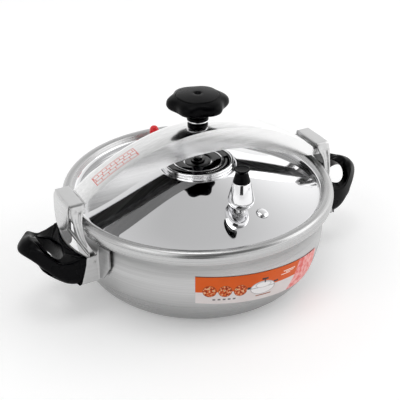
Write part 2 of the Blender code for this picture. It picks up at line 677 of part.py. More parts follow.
def make_bridge(material):
    arch_steps = 10
    stations = [BRIDGE_SHOULDER_X * i / arch_steps for i in range(arch_steps + 1)]
    half = [(x, arch_z(x), flange_z(x)) for x in stations]
    half += [(x, BRIDGE_SEAT_Z, flange_z(x)) for x in (BRIDGE_SHOULDER_X + 0.8, BRIDGE_SEAT_END_X)]
    half += [(BRIDGE_TIP_X - 1.6, BRIDGE_SEAT_Z - 3.0, RIM_Z + 7.2),
             (BRIDGE_TIP_X, BRIDGE_SEAT_Z - 4.7, RIM_Z + 7.6)]
    rows = [(-x, top, low) for x, top, low in reversed(half[1:])] + half
    bm = loft([bridge_section(*row) for row in rows])
    bridge = finish_object("bridge", bm, material, sharp_angle=30)
    drill(bridge, "bush_hole", 8.1, 30.0, (0, 0, BRIDGE_TOP_Z))
    return bridge


def make_bush(material, bright):
    """The threaded bush through the crown, with a stepped collar above and a lock ring below."""
    collar = BRIDGE_TOP_Z + GAP
    top = BRIDGE_TOP_Z + 5.4
    low = BRIDGE_TOP_Z - 9.0
    bush = [(SCREW_R + GAP, low), (7.8, low), (7.8, collar), (10.2, collar), (10.4, collar + 1.6),
            (9.8, collar + 3.2), (8.6, collar + 3.4), (8.6, top), (SCREW_R + GAP, top)]
    turned("threaded_bush", bush, bright, 20)
    ring_top = BRIDGE_TOP_Z - SHEET - GAP - 0.6
    ring = [(8.1, ring_top - 2.4), (11.6, ring_top - 2.4), (11.6, ring_top), (8.1, ring_top)]
    turned("bush_lock_ring", ring, material, 20)


def make_clamp_screw(material):
    """The screw, with a plain end that turns in the foot's socket."""
    end_z = LID_TOP_Z + 3.5 + GAP + 1.8 + GAP
    top_z = RIM_Z + 92.0
    profile = [(0, end_z), (3.4, end_z), (4.2, end_z + 1.0), (4.2, end_z + 4.6),
               (SCREW_R, end_z + 6.0), (SCREW_R, top_z - 1.0), (SCREW_R - 1.0, top_z), (0, top_z)]
    turned("clamp_screw", profile, material, 16)


def make_knob(material):
    """A neck, hollow at its foot to clear the collar, under a lobed head with a dimple on top."""
    low = BRIDGE_TOP_Z + 5.4 + GAP + 0.2
    bore_r, bore_top = SCREW_R + GAP, RIM_Z + 92.0 + GAP
    z = RIM_Z
    profile = [(bore_r, low + 2.2), (9.0, low + 2.2), (9.0, low), (10.4, low), (11.2, low + 1.0),
               (10.8, z + 76.0), (10.7, z + 80.0), (12.4, z + 83.6), (18.0, z + 85.0),
               (25.0, z + 85.6), (29.6, z + 87.0), (KNOB_R, z + 89.8), (31.0, z + 93.2),
               (28.6, z + 96.4), (23.0, z + 98.6), (15.0, z + 99.9), (7.0, z + 100.4),
               (3.2, z + 100.3), (2.4, z + 98.7), (0, z + 98.5), (0, bore_top),
               (bore_r, bore_top)]
    bm = spin_profile(profile, 8 * KNOB_LOBES)
    neck_r = 13.0                 # the lobes start outside it
    for vert in bm.verts:
        r = math.hypot(vert.co.x, vert.co.y)
        reach = max(0.0, (r - neck_r) / (KNOB_R - neck_r))
        angle = math.atan2(vert.co.y, vert.co.x)
        wave = (1 - math.cos(KNOB_LOBES * (angle - LOBE_TURN))) / 2
        scale = 1 - LOBE_DEPTH * reach ** 2 * wave
        vert.co.x *= scale
        vert.co.y *= scale
    finish_object("knob", bm, material)


# ---- label ----
def make_label(material):
    """A thin printed label that follows the pot's wall at the front."""
    start, end, height = -119.0, -40.0, 29.5
    across, down = 12, 3
    bm = bmesh.new()
    layers = []
    for lift in (GAP, GAP + 0.25):
        grid = []
        for i in range(across + 1):
            a = math.radians(start + (end - start) * i / across)
            column = []
            top = RIM_Z - 29.0 - 9.0 * (i / across) ** 2
            for j in range(down + 1):
                z = top - height * j / down
                r = wall_radius(z) + lift
                column.append(bm.verts.new((r * math.cos(a), r * math.sin(a), z)))
            grid.append(column)
        layers.append(grid)
    under, over = layers
    for i in range(across):
        for j in range(down):
            for grid in layers:
                bm.faces.new((grid[i][j], grid[i + 1][j], grid[i + 1][j + 1], grid[i][j + 1]))
    edge = [(i, 0) for i in range(across)] + [(across, j) for j in range(down)]
    edge += [(i, down) for i in range(across, 0, -1)] + [(0, j) for j in range(down, 0, -1)]
    for (i, j), (k, m) in zip(edge, edge[1:] + edge[:1]):
        bm.faces.new((under[i][j], under[k][m], over[k][m], over[i][j]))
    finish_object("label", bm, material)


def make_cooker():
    brushed = make_material("brushed_aluminium", (0.80, 0.80, 0.80), 1.0, 0.35)
    polished = make_material("polished_steel", (0.86, 0.86, 0.87), 1.0, 0.07)
    sheet = make_material("satin_sheet", (0.82, 0.82, 0.82), 1.0, 0.28)
    black = make_material("black_bakelite", (0.015, 0.015, 0.016), 0.0, 0.3)
    insert = make_material("black_gloss", (0.01, 0.01, 0.01), 0.0, 0.08)
    rubber = make_material("grey_rubber", (0.55, 0.55, 0.53), 0.0, 0.6)
    steel = make_material("turned_steel", (0.70, 0.70, 0.70), 1.0, 0.25)
    red = make_material("red_silicone", (0.75, 0.01, 0.015), 0.0, 0.35)
    paper = make_material("orange_print", (0.85, 0.28, 0.08), 0.0, 0.45)

    make_pot(brushed)
    for side, sign in SIDES:
        bracket = make_bracket(side, sign, sheet)
        handle = make_handle(side, sign, black)
        make_handle_screws(side, sign, bracket, handle, steel)
        make_hook_pin(side, sign, bracket, steel)
        make_hook(side, sign, sheet)
    lid = make_lid(polished)
    make_gasket(rubber)
    make_pressure_plate(polished)
    make_plate_insert(insert)
    make_screw_foot(steel)
    make_foot_ring(steel)
    make_vent(lid, polished, steel)
    make_weight(polished, black)
    make_safety_plug(lid, polished)
    make_indicator(lid, polished, red, rubber)
    make_bridge(sheet)
    make_bush(steel, polished)
    make_clamp_screw(steel)
    make_knob(black)
    make_label(paper)


clear_scene()
make_cooker()
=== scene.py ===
"""Looks of the stovetop pressure cooker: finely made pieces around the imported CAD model.

Shapes are written in millimetres, with +Z up and the floor at 0, and the bridge runs along X."""
from math import asin, atan2, copysign, cos, hypot, pi, radians, sin, sqrt

import bmesh
import bpy
from mathutils import Matrix, Vector


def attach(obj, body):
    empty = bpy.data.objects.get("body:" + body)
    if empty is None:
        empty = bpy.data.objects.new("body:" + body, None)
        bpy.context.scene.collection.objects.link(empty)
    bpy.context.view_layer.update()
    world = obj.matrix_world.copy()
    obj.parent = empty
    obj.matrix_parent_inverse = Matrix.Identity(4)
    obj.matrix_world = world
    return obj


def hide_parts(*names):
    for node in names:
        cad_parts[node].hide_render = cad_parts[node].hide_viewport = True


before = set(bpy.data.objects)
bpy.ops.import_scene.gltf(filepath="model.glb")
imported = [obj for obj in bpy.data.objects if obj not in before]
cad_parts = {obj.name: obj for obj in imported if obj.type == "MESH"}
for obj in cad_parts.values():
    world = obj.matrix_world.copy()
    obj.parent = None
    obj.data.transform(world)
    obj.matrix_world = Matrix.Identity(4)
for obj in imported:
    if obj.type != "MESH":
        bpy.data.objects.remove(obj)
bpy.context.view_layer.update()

MM = 0.001
RIM = 97.0                  # height of the lid's rim
LID_TOP = RIM + 18.0        # floor of the recess in the lid's middle
RECESS_R = 38.6
DOME_EDGE = 123.5           # where the dome meets the rim's bead
BELL_TOP, BELL_DROP, BELL_SPAN = RIM + 28.5, 37.9, 156.8
POT_R = 131.0               # outside of the upright wall
BASE_R = 97.0               # edge of the flat base
CURVE_H = 60.0              # where the wall becomes upright
SHEET = 2.0                 # thickness of the lid, the bridge and the hooks

ARCH_R, ARCH_END = 194.0, 131.0
BRIDGE_TOP = RIM + 66.0
BRIDGE_HALF_W = 16.0
SEAT_Z = RIM + 15.2
HOOK_TOP = RIM + 22.0
HOOK_IN, TAB_HALF_W = 133.6, 17.6
PIN_X, PIN_Z = 133.4, RIM - 34.0
EYE_R, EYE_Y = 3.4, 34.6
ROW = (0.0, 0.22, 0.36, 0.64, 0.78, 1.0)    # places across a hook's leg and its tab
BRACKET_X = 138.8
BRACKET_HALF_W = 37.0
BRACKET_TOP, BRACKET_LOW = RIM - 28.0, RIM - 56.5
BRACKET_SHEET = 1.8
WEB_BULGE, WEB_LEAN = 7.5, 7.7
HANDLE_TIP_X = 197.0
HANDLE_HALF_W = 38.0
HOLE = (165.0, 11.5, 21.0)  # middle, and half size along X and Y
VALVE = (3.8, -82.0)
INDICATOR = (5.0, 114.0)
PLUG = (23.0, -90.5)
KNOB_LOBES = 6
LOBE_TURN = radians(-18.0)   # where one lobe points, from +X

SIDES = (("left", -1), ("right", 1))
LOOKS = {}                  # the materials by their short names, filled by make_looks

PHOTO_LENS, SENSOR_W = 86.07, 36.0      # millimetres
CAMERA_AT, CAMERA_AIM = (-0.4052, -0.7660, 0.5752), (0.0020, -0.0011, 0.0761)
FLAG_AT = (-0.05, -0.62, 0.78)          # where a black flag darkens the sky, high in front
SUN_STRENGTH, SUN_SPREAD = 0.50, 30
FLOOR_GLOW = 0.22
BLACK_LEVEL = 0.007


# ---- shape helpers ----
def rounded(points, radius, parts=3, closed=True):
    """Rounds the corners of a line of points. radius is one number, or one for each corner."""
    count = len(points)
    radii = radius if isinstance(radius, (list, tuple)) else [radius] * count
    out = []
    for i in range(count):
        p = Vector(points[i])
        on_axis = len(p) == 2 and p.x < 1e-6
        at_end = not closed and i in (0, count - 1)
        if on_axis or at_end or radii[i] <= 0:
            out.append(tuple(p))
            continue
        before, after = Vector(points[i - 1]) - p, Vector(points[(i + 1) % count]) - p
        start = p + before.normalized() * min(radii[i], before.length * 0.45)
        end = p + after.normalized() * min(radii[i], after.length * 0.45)
        for k in range(parts + 1):
            t = k / parts
            out.append(tuple(start * (1 - t) ** 2 + p * (2 * t * (1 - t)) + end * t * t))
    return out


def smooth_curve(points, parts=6):
    """A curve that passes smoothly through the points."""
    pts = [Vector(p) for p in points]
    out = []
    for i in range(len(pts) - 1):
        a, b, c, d = pts[max(i - 1, 0)], pts[i], pts[i + 1], pts[min(i + 2, len(pts) - 1)]
        for k in range(parts):
            t = k / parts
            out.append(tuple(0.5 * (2 * b + (c - a) * t + (2 * a - 5 * b + 4 * c - d) * t ** 2
                                    + (3 * b - a - 3 * c + d) * t ** 3)))
    return out + [tuple(pts[-1])]


def lifted(base, points):
    """Points of (radius, height), moved up by base."""
    return [(r, base + height) for r, height in points]


def smooth_rise(x, start, end):
    """0 up to start, 1 from end on, and a smooth step between."""
    t = min(max((x - start) / (end - start), 0.0), 1.0)
    return t * t * (3 - 2 * t)


def dome_z(radius):
    """The lid's outer surface outside its recess, which is a cosine bell."""
    return BELL_TOP - BELL_DROP * (1 - cos(pi * radius / BELL_SPAN)) / 2


def dome_normal(x, y):
    """The dome's outward direction at a place."""
    r = hypot(x, y)
    slope = BELL_DROP * pi / (2 * BELL_SPAN) * sin(pi * r / BELL_SPAN)
    return Vector((x / r * slope, y / r * slope, 1)).normalized()


def bridge_rings(bm, rings, closed):
    """Faces between rings of points, which are lists of vertices. A ring of one is a tip."""
    pairs = list(zip(rings, rings[1:])) + ([(rings[-1], rings[0])] if closed else [])
    for low, high in pairs:
        count = max(len(low), len(high))
        for k in range(count):
            m = (k + 1) % count
            corners = [low[k % len(low)], low[m % len(low)],
                       high[m % len(high)], high[k % len(high)]]
            corners = list(dict.fromkeys(corners))
            if len(corners) > 2:
                bm.faces.new(corners)


def turn(profile, steps=160, centre=(0, 0)):
    """A shape turned about an upright axis at centre from (radius, z) points."""
    bm = bmesh.new()
    rings = []
    for r, z in profile:
        angles = [0.0] if r < 1e-6 else [2 * pi * k / steps for k in range(steps)]
        rings.append([bm.verts.new((centre[0] + r * cos(a), centre[1] + r * sin(a), z))
                      for a in angles])
    bridge_rings(bm, rings, profile[0][0] > 1e-6 or profile[-1][0] > 1e-6)
    return bm


def loft(sections, closed=False):
    """A shape through closed sections with equal numbers of points, face rows in order."""
    bm = bmesh.new()
    rings = [[bm.verts.new(p) for p in section] for section in sections]
    bridge_rings(bm, rings, closed)
    if not closed:
        bm.faces.new(rings[0])
        bm.faces.new(reversed(rings[-1]))
    return bm


def turn_to_side(bm, sign):
    """Turns a shape made for +X round to -X when sign is negative."""
    if sign < 0:
        bmesh.ops.rotate(bm, cent=(0, 0, 0), matrix=Matrix.Rotation(pi, 3, "Z"), verts=bm.verts)


def tilt(bm, point, direction):
    """Places a shape made upright at the origin so that it stands at point along direction."""
    turn_by = Vector((0, 0, 1)).rotation_difference(Vector(direction)).to_matrix().to_4x4()
    bmesh.ops.transform(bm, matrix=Matrix.Translation(Vector(point)) @ turn_by, verts=bm.verts)
    return bm


def new_object(name, data):
    obj = bpy.data.objects.new(name, data)
    bpy.context.scene.collection.objects.link(obj)
    return obj


def mesh_object(name, bm):
    """A new object made from bm, which is used up."""
    mesh = bpy.data.meshes.new(name)
    bm.to_mesh(mesh)
    bm.free()
    return new_object(name, mesh)


def add_piece(name, bm, look, body, nodes=(), angle=32):
    """Makes a piece from bm, in millimetres, that rides on body and stands for the CAD nodes."""
    bmesh.ops.remove_doubles(bm, verts=bm.verts, dist=1e-4)
    bmesh.ops.recalc_face_normals(bm, faces=bm.faces)
    bmesh.ops.scale(bm, vec=(MM, MM, MM), verts=bm.verts)
    obj = mesh_object(name, bm)
    obj.data.materials.append(LOOKS[look])
    obj.data.shade_smooth()
    obj.data.set_sharp_from_angle(angle=radians(angle))
    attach(obj, body)
    if nodes:
        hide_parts(*nodes)
    return obj


def add_bevel(obj, width, segments, angle):
    """A bevel on edges sharper than angle, in degrees."""
    bevel = obj.modifiers.new("soft_edges", "BEVEL")
    bevel.width = width * MM
    bevel.segments = segments
    bevel.limit_method = "ANGLE"
    bevel.angle_limit = radians(angle)


# ---- material helpers ----
def add_node(tree, kind, inputs=None, **settings):
    """A shader node. An input is given a value, or the socket that feeds it."""
    node = tree.nodes.new("ShaderNode" + kind)
    for key, value in settings.items():
        setattr(node, key, value)
    for key, value in (inputs or {}).items():
        if isinstance(value, bpy.types.NodeSocket):
            tree.links.new(value, node.inputs[key])
        else:
            node.inputs[key].default_value = value
    return node


def maths(tree, operation, first, second=0.0, third=0.0):
    node = add_node(tree, "Math", {0: first, 1: second, 2: third}, operation=operation)
    return node.outputs[0]


def times(tree, first, second):
    return maths(tree, "MULTIPLY", first, second)


def feed(shader, name, socket):
    """Joins a socket to the shader's input of that name."""
    shader.id_data.links.new(socket, shader.inputs[name])


def start_material(name, colour, metallic, roughness):
    """A Principled material. Returns it, its node tree and its shader."""
    made = bpy.data.materials.new(name)
    made.use_nodes = True
    shader = made.node_tree.nodes["Principled BSDF"]
    shader.inputs["Base Color"].default_value = (*colour, 1)
    shader.inputs["Metallic"].default_value = metallic
    shader.inputs["Roughness"].default_value = roughness
    return made, made.node_tree, shader


def object_place(tree):
    return add_node(tree, "TexCoord").outputs["Object"]


def split_place(tree):
    return add_node(tree, "SeparateXYZ", {0: object_place(tree)}).outputs


def stretched_noise(tree, stretch, scale=1.0, detail=4.0):
    """Noise in object space, drawn out by the stretch along each axis."""
    mapping = add_node(tree, "Mapping", {"Vector": object_place(tree), "Scale": stretch})
    noise = add_node(tree, "TexNoise", {"Vector": mapping.outputs[0], "Scale": scale,
                                        "Detail": detail, "Roughness": 0.6})
    return noise.outputs["Fac"]


def spread(tree, value, low=0.0, high=1.0, from_low=0.3, from_high=0.7):
    """value, from between from_low and from_high, brought to between low and high."""
    node = add_node(tree, "MapRange", {"Value": value, "From Min": from_low,
                                       "From Max": from_high, "To Min": low, "To Max": high})
    return node.outputs["Result"]


def add_bump(tree, shader, height, strength, distance):
    bump = add_node(tree, "Bump", {"Height": height, "Strength": strength, "Distance": distance})
    feed(shader, "Normal", bump.outputs["Normal"])


def brushed_metal(name, low, high, stretch, rough, bump, metallic=1.0):
    """Metal between two greys, with fine streaks along where stretch is small."""
    made, tree, shader = start_material(name, (high,) * 3, metallic, rough[0])
    streaks = stretched_noise(tree, stretch)
    clouds = stretched_noise(tree, (14, 14, 14), detail=2.0)
    share = spread(tree, streaks, 0.0, 1.0, 0.35, 0.65)
    feed(shader, "Base Color", mix(tree, share, (low,) * 3, (high,) * 3))
    both = maths(tree, "MULTIPLY_ADD", clouds, 0.5, times(tree, streaks, 0.5))
    feed(shader, "Roughness", spread(tree, both, rough[0], rough[1], 0.35, 0.65))
    add_bump(tree, shader, streaks, bump, 0.0001)
    return made, tree, shader


def radius_of(tree):
    """Distance from the middle's upright axis, and the X and Y it comes from, in metres."""
    x, y, _ = split_place(tree)
    square = maths(tree, "ADD", times(tree, x, x), times(tree, y, y))
    return maths(tree, "SQRT", square), x, y


def between(tree, value, low, high):
    """1 where low < value < high."""
    above = maths(tree, "GREATER_THAN", value, low)
    return times(tree, above, maths(tree, "LESS_THAN", value, high))


def mix(tree, mask, base, top):
    """top over base where mask is 1. Each is a colour or a socket."""
    mix = add_node(tree, "Mix", {"Factor": mask}, data_type="RGBA")
    for index, value in ((6, base), (7, top)):
        if isinstance(value, bpy.types.NodeSocket):
            tree.links.new(value, mix.inputs[index])
        else:
            mix.inputs[index].default_value = (*value, 1)
    return mix.outputs[2]


def mirror_steel(name, colour=(0.86, 0.86, 0.87), rough=(0.03, 0.09), rings=0.0, satin_from=0.0):
    """Polished steel with faint polishing haze, turned rings and a satin rim if asked for."""
    made, tree, shader = start_material(name, colour, 1.0, rough[0])
    haze = stretched_noise(tree, (30, 30, 30), detail=5.0)
    roughness = spread(tree, haze, *rough)
    if rings:
        radius, _, _ = radius_of(tree)
        place = add_node(tree, "CombineXYZ", {0: times(tree, radius, rings)})
        lines = add_node(tree, "TexNoise",
                         {"Vector": place.outputs[0], "Scale": 1.0, "Detail": 3.0})
        add_bump(tree, shader, lines.outputs["Fac"], 0.05, 0.0001)
        satin = maths(tree, "GREATER_THAN", radius, satin_from * MM)
        fine = stretched_noise(tree, (9, 9, 900), detail=3.0)
        rim = spread(tree, fine, 0.20, 0.34)
        roughness = maths(tree, "ADD", times(tree, satin, rim),
                          times(tree, maths(tree, "SUBTRACT", 1.0, satin), roughness))
        streak = mix(tree, spread(tree, fine), (0.44,) * 3, (0.58,) * 3)
        feed(shader, "Base Color", mix(tree, satin, colour, streak))
    feed(shader, "Roughness", roughness)
    return made


def black_bakelite():
    """Black moulded plastic with a fine grain and soft cloudy changes of gloss."""
    made, tree, shader = start_material("black_bakelite", (0.0085, 0.0085, 0.009), 0.0, 0.24)
    clouds = stretched_noise(tree, (25, 25, 25), detail=3.0)
    feed(shader, "Roughness", spread(tree, clouds, 0.24, 0.36))
    fine = stretched_noise(tree, (1400, 1400, 1400), detail=2.0)
    add_bump(tree, shader, fine, 0.10, 0.00005)
    shader.inputs["Specular IOR Level"].default_value = 0.08
    return made


def bridge_metal():
    """Polished sheet with lengthwise streaks, and a plain printed panel on its left arm."""
    made, tree, shader = brushed_metal("bridge_sheet", 0.88, 0.96,
                                       (5, 420, 420), (0.13, 0.22), 0.05)
    x, y, z = split_place(tree)
    metal = shader.inputs["Base Color"].links[0].from_socket
    off = maths(tree, "ABSOLUTE", maths(tree, "ADD", y, 0.002))
    panel = times(tree, between(tree, x, -0.1145, -0.0690), maths(tree, "LESS_THAN", off, 0.0078))
    inside = times(tree, between(tree, x, -0.1137, -0.0698),
                   maths(tree, "LESS_THAN", off, 0.0070))
    frame_line = maths(tree, "SUBTRACT", panel, inside)
    place = add_node(tree, "CombineXYZ", {0: x, 1: y})
    blocks = add_node(tree, "TexBrick", {
        "Vector": place.outputs[0], "Scale": 1.0, "Mortar Size": 0.00042, "Mortar Smooth": 0.0,
        "Brick Width": 0.0075, "Row Height": 0.0042},
        offset=0.37, squash=0.62, squash_frequency=3)
    rows = maths(tree, "LESS_THAN", off, 0.0062)
    marks = times(tree, blocks.outputs["Fac"], times(tree, rows, inside))
    ink = maths(tree, "MAXIMUM", frame_line, marks)
    upper = maths(tree, "GREATER_THAN", z, 0.12)
    ink = times(tree, times(tree, ink, upper), 0.85)
    feed(shader, "Base Color", mix(tree, ink, metal, (0.72, 0.16, 0.13)))
    feed(shader, "Metallic", maths(tree, "SUBTRACT", 1.0, ink))
    return made


def gloss_insert():
    """Glossy disc, black as a painted reflection of the bridge's dark underside, with a ring of
    generic light marks.
    """
    black = (0.008, 0.008, 0.009)
    made, tree, shader = start_material("black_gloss_insert", black, 0.0, 0.06)
    radius, x, y = radius_of(tree)
    angle = maths(tree, "ARCTAN2", y, x)
    steps = maths(tree, "FRACT", times(tree, angle, 13.0))
    teeth = maths(tree, "LESS_THAN", steps, 0.5)
    marks = times(tree, teeth, between(tree, radius, 0.0282, 0.0300))
    marks = times(tree, marks, between(tree, angle, -1.75, -0.35))
    feed(shader, "Base Color", mix(tree, marks, black, (0.55,) * 3))
    haze = stretched_noise(tree, (60, 60, 60))
    feed(shader, "Roughness", spread(tree, haze, 0.04, 0.1))
    return made


def printed_label():
    """A two-colour band with round food pictures, a small drawing of a pot and plain bars."""
    made, tree, shader = start_material("printed_label", (0.8, 0.25, 0.07), 0.0, 0.4)
    uv = add_node(tree, "UVMap", uv_map="print")
    split = add_node(tree, "SeparateXYZ", {0: uv.outputs[0]})
    u, v = split.outputs[0], split.outputs[1]   # millimetres along and down the label, over 100

    def disc(centre_u, centre_v, radius, squeeze=1.0):
        du = maths(tree, "SUBTRACT", u, centre_u / 100)
        dv = times(tree, maths(tree, "SUBTRACT", v, centre_v / 100), squeeze)
        far = maths(tree, "SQRT", maths(tree, "ADD", times(tree, du, du), times(tree, dv, dv)))
        return maths(tree, "LESS_THAN", far, radius / 100)

    def box(u0, u1, v0, v1):
        return times(tree, between(tree, u, u0 / 100, u1 / 100),
                     between(tree, v, v0 / 100, v1 / 100))

    fall = maths(tree, "MULTIPLY_ADD", u, -0.012, 0.176)
    orange = maths(tree, "LESS_THAN", v, fall)
    fade = add_node(tree, "TexNoise", {"Vector": uv.outputs[0], "Scale": 3.0, "Detail": 3.0})
    share = spread(tree, fade.outputs["Fac"])
    warm = mix(tree, share, (0.72, 0.112, 0.012), (0.64, 0.092, 0.009))
    pale = mix(tree, share, (0.66, 0.60, 0.59), (0.74, 0.69, 0.68))
    colour = mix(tree, orange, pale, warm)
    food = add_node(tree, "TexNoise", {"Vector": uv.outputs[0], "Scale": 42.0, "Detail": 4.0})
    dish = add_node(tree, "ValToRGB", {0: food.outputs["Fac"]})
    stops = ((0.34, (0.08, 0.03, 0.01, 1)), (0.45, (0.50, 0.04, 0.01, 1)),
             (0.54, (0.66, 0.16, 0.03, 1)), (0.62, (0.80, 0.55, 0.35, 1)),
             (0.70, (0.16, 0.22, 0.04, 1)))
    ramp = dish.color_ramp
    ramp.elements[0].position, ramp.elements[0].color = stops[0]
    ramp.elements[1].position, ramp.elements[1].color = stops[-1]
    for position, shade in stops[1:-1]:
        ramp.elements.new(position).color = shade
    for centre, middle in ((13.5, 16.3), (28.6, 16.7), (43.7, 17.2)):
        colour = mix(tree, disc(centre, middle, 6.8), colour, (0.30, 0.07, 0.02))
        colour = mix(tree, disc(centre, middle, 6.3), colour, dish.outputs[0])
    drawing = (
        (box(50.8, 56.5, 15.0, 17.6), (0.05, 0.04, 0.04)),
        (disc(67.8, 18.2, 14.0, 1.75), (0.45, 0.42, 0.42)),
        (disc(67.8, 18.2, 13.1, 1.8), (0.82, 0.80, 0.80)),
        (box(54.2, 81.4, 17.2, 17.9), (0.30, 0.28, 0.28)),
        (disc(68.2, 14.6, 9.3, 2.4), (0.62, 0.59, 0.59)),
        (disc(68.2, 14.8, 7.6, 2.8), (0.86, 0.84, 0.84)),
        (box(68.9, 70.5, 8.4, 12.6), (0.12, 0.08, 0.08)),
        (box(66.2, 73.2, 7.0, 9.0), (0.05, 0.04, 0.04)),
        (box(80.0, 85.5, 13.0, 15.0), (0.05, 0.04, 0.04)),
        (box(60.6, 78.4, 27.0, 28.5), (0.33, 0.14, 0.09)),
    )
    for mask, shade in drawing:
        colour = mix(tree, mask, colour, shade)
    for index in range(5):
        start = 16.4 + 5.0 * index
        colour = mix(tree, box(start, start + 2.8, 25.6, 27.6), colour, (0.16, 0.14, 0.14))
    for start, end, low, high in ((92, 108, 5.6, 6.6), (95, 106, 7.4, 8.2), (89, 101, 9.0, 9.8)):
        colour = mix(tree, box(start, end, low, high), colour, (0.92, 0.80, 0.72))
    red_end = maths(tree, "GREATER_THAN", maths(tree, "MULTIPLY_ADD", v, 0.35, u), 1.15)
    berries = add_node(tree, "TexNoise", {"Vector": uv.outputs[0], "Scale": 18.0, "Detail": 3.0})
    pink = mix(tree, spread(tree, berries.outputs["Fac"], 0.0, 1.0, 0.4, 0.6),
                      (0.74, 0.13, 0.12), (0.86, 0.42, 0.40))
    colour = mix(tree, red_end, colour, pink)
    feed(shader, "Base Color", colour)
    feed(shader, "Roughness", spread(tree, fade.outputs["Fac"], 0.32, 0.44))
    shader.inputs["Specular IOR Level"].default_value = 0.25
    return made


def red_rubber():
    made, tree, shader = start_material("red_silicone", (0.72, 0.004, 0.012), 0.0, 0.33)
    shader.inputs["Coat Weight"].default_value = 0.2
    clouds = stretched_noise(tree, (160, 160, 160), detail=3.0)
    feed(shader, "Roughness", spread(tree, clouds, 0.28, 0.42))
    add_bump(tree, shader, clouds, 0.05, 0.0001)
    return made


def soft_rubber():
    made, tree, shader = start_material("grey_rubber", (0.42, 0.42, 0.41), 0.0, 0.6)
    clouds = stretched_noise(tree, (220, 220, 220), detail=4.0)
    feed(shader, "Base Color",
         mix(tree, spread(tree, clouds), (0.36, 0.36, 0.35), (0.48, 0.48, 0.47)))
    add_bump(tree, shader, clouds, 0.15, 0.0001)
    return made


def pot_metal():
    """Satin spun aluminium with painted shade: streaky under its rim, and where the wall curves
    in.
    """
    made, tree, shader = brushed_metal("pot_brushed", 0.49, 0.58,
                                       (5, 5, 1100), (0.24, 0.36), 0.05)
    metal = shader.inputs["Base Color"].links[0].from_socket
    height = split_place(tree)[2]
    # painted shade: a streaky dark band under the rim's bead, and a darkening of the wall towards
    # the base
    rim_shade_streaks = stretched_noise(tree, (16, 16, 150), detail=5.0)
    near_rim = spread(tree, height, 0.0, 1.0, 0.062, 0.076)
    rim_shade = times(tree, near_rim, spread(tree, rim_shade_streaks, 0.45, 1.0))
    low = spread(tree, height, 1.0, 0.0, 0.004, 0.052)
    shade = maths(tree, "MAXIMUM", times(tree, rim_shade, 0.75), times(tree, low, 0.85))
    feed(shader, "Base Color", mix(tree, shade, metal, (0.27,) * 3))
    return made


def make_looks():
    LOOKS.update({
        "pot": pot_metal(),
        "lid": mirror_steel("lid_polish", (0.84, 0.84, 0.85), (0.02, 0.06), rings=260.0,
                            satin_from=127.6),
        "chrome": mirror_steel("chrome_polish", (0.88, 0.88, 0.89), (0.03, 0.08)),
        "bridge": bridge_metal(),
        "bakelite": black_bakelite(),
        "insert": gloss_insert(),
        "rubber": soft_rubber(),
        "red": red_rubber(),
        "label": printed_label(),
    })
    for look, *settings in (
        ("sheet", "satin_sheet", 0.60, 0.66, (20, 20, 420), (0.26, 0.32), 0.012),
        ("bracket", "satin_bracket", 0.44, 0.50, (20, 20, 420), (0.28, 0.34), 0.012),
        ("dark_steel", "oiled_steel", 0.05, 0.12, (300, 300, 300), (0.25, 0.4), 0.05),
        ("turned", "turned_steel", 0.55, 0.72, (40, 40, 2600), (0.18, 0.30), 0.15),
        # the bridge's inner faces: an unpolished finish whose dark grey is painted shade
        ("inner", "unpolished_inside", 0.20, 0.42, (4, 330, 330), (0.30, 0.45), 0.10, 0.5),
    ):
        LOOKS[look] = brushed_metal(*settings)[0]


# ---- pot and lid ----
def make_pot():
    neck, lip = RIM - 13.0, RIM - 5.6
    lip_r, floor_t, wall = POT_R + 5.2, 3.5, 2.5
    outer = [(0, 0.8), (58, 0.8), (59.5, 0), (62, 0), (63.5, 0.8), (86, 0.8), (88, 0),
             (BASE_R, 0)]
    turns = 24
    for i in range(1, turns + 1):
        a = pi / 2 * i / turns
        outer.append((BASE_R + (POT_R - BASE_R) * sin(a), CURVE_H * (1 - cos(a))))
    edge = [(POT_R, neck), (POT_R + 1.2, neck + 2.6), (lip_r - 0.8, neck + 3.4),
            (lip_r, neck + 5.0), (lip_r - 0.6, lip - 0.4), (lip_r - 1.6, lip),
            (POT_R + 0.4, lip), (POT_R - wall + 0.6, lip - 1.6), (POT_R - wall, neck + 1.0)]
    inner = [(POT_R - wall, CURVE_H)]
    for i in range(1, turns):
        a = pi / 2 * (1 - i / turns)
        inner.append((BASE_R + (POT_R - wall - BASE_R) * sin(a),
                      floor_t + (CURVE_H - floor_t) * (1 - cos(a))))
    inner += [(BASE_R, floor_t), (0, floor_t)]
    bm = turn(outer + rounded(edge, 0.8, closed=False) + inner, 192)
    add_piece("pot_shell", bm, "pot", "pot", ["pot_body"])


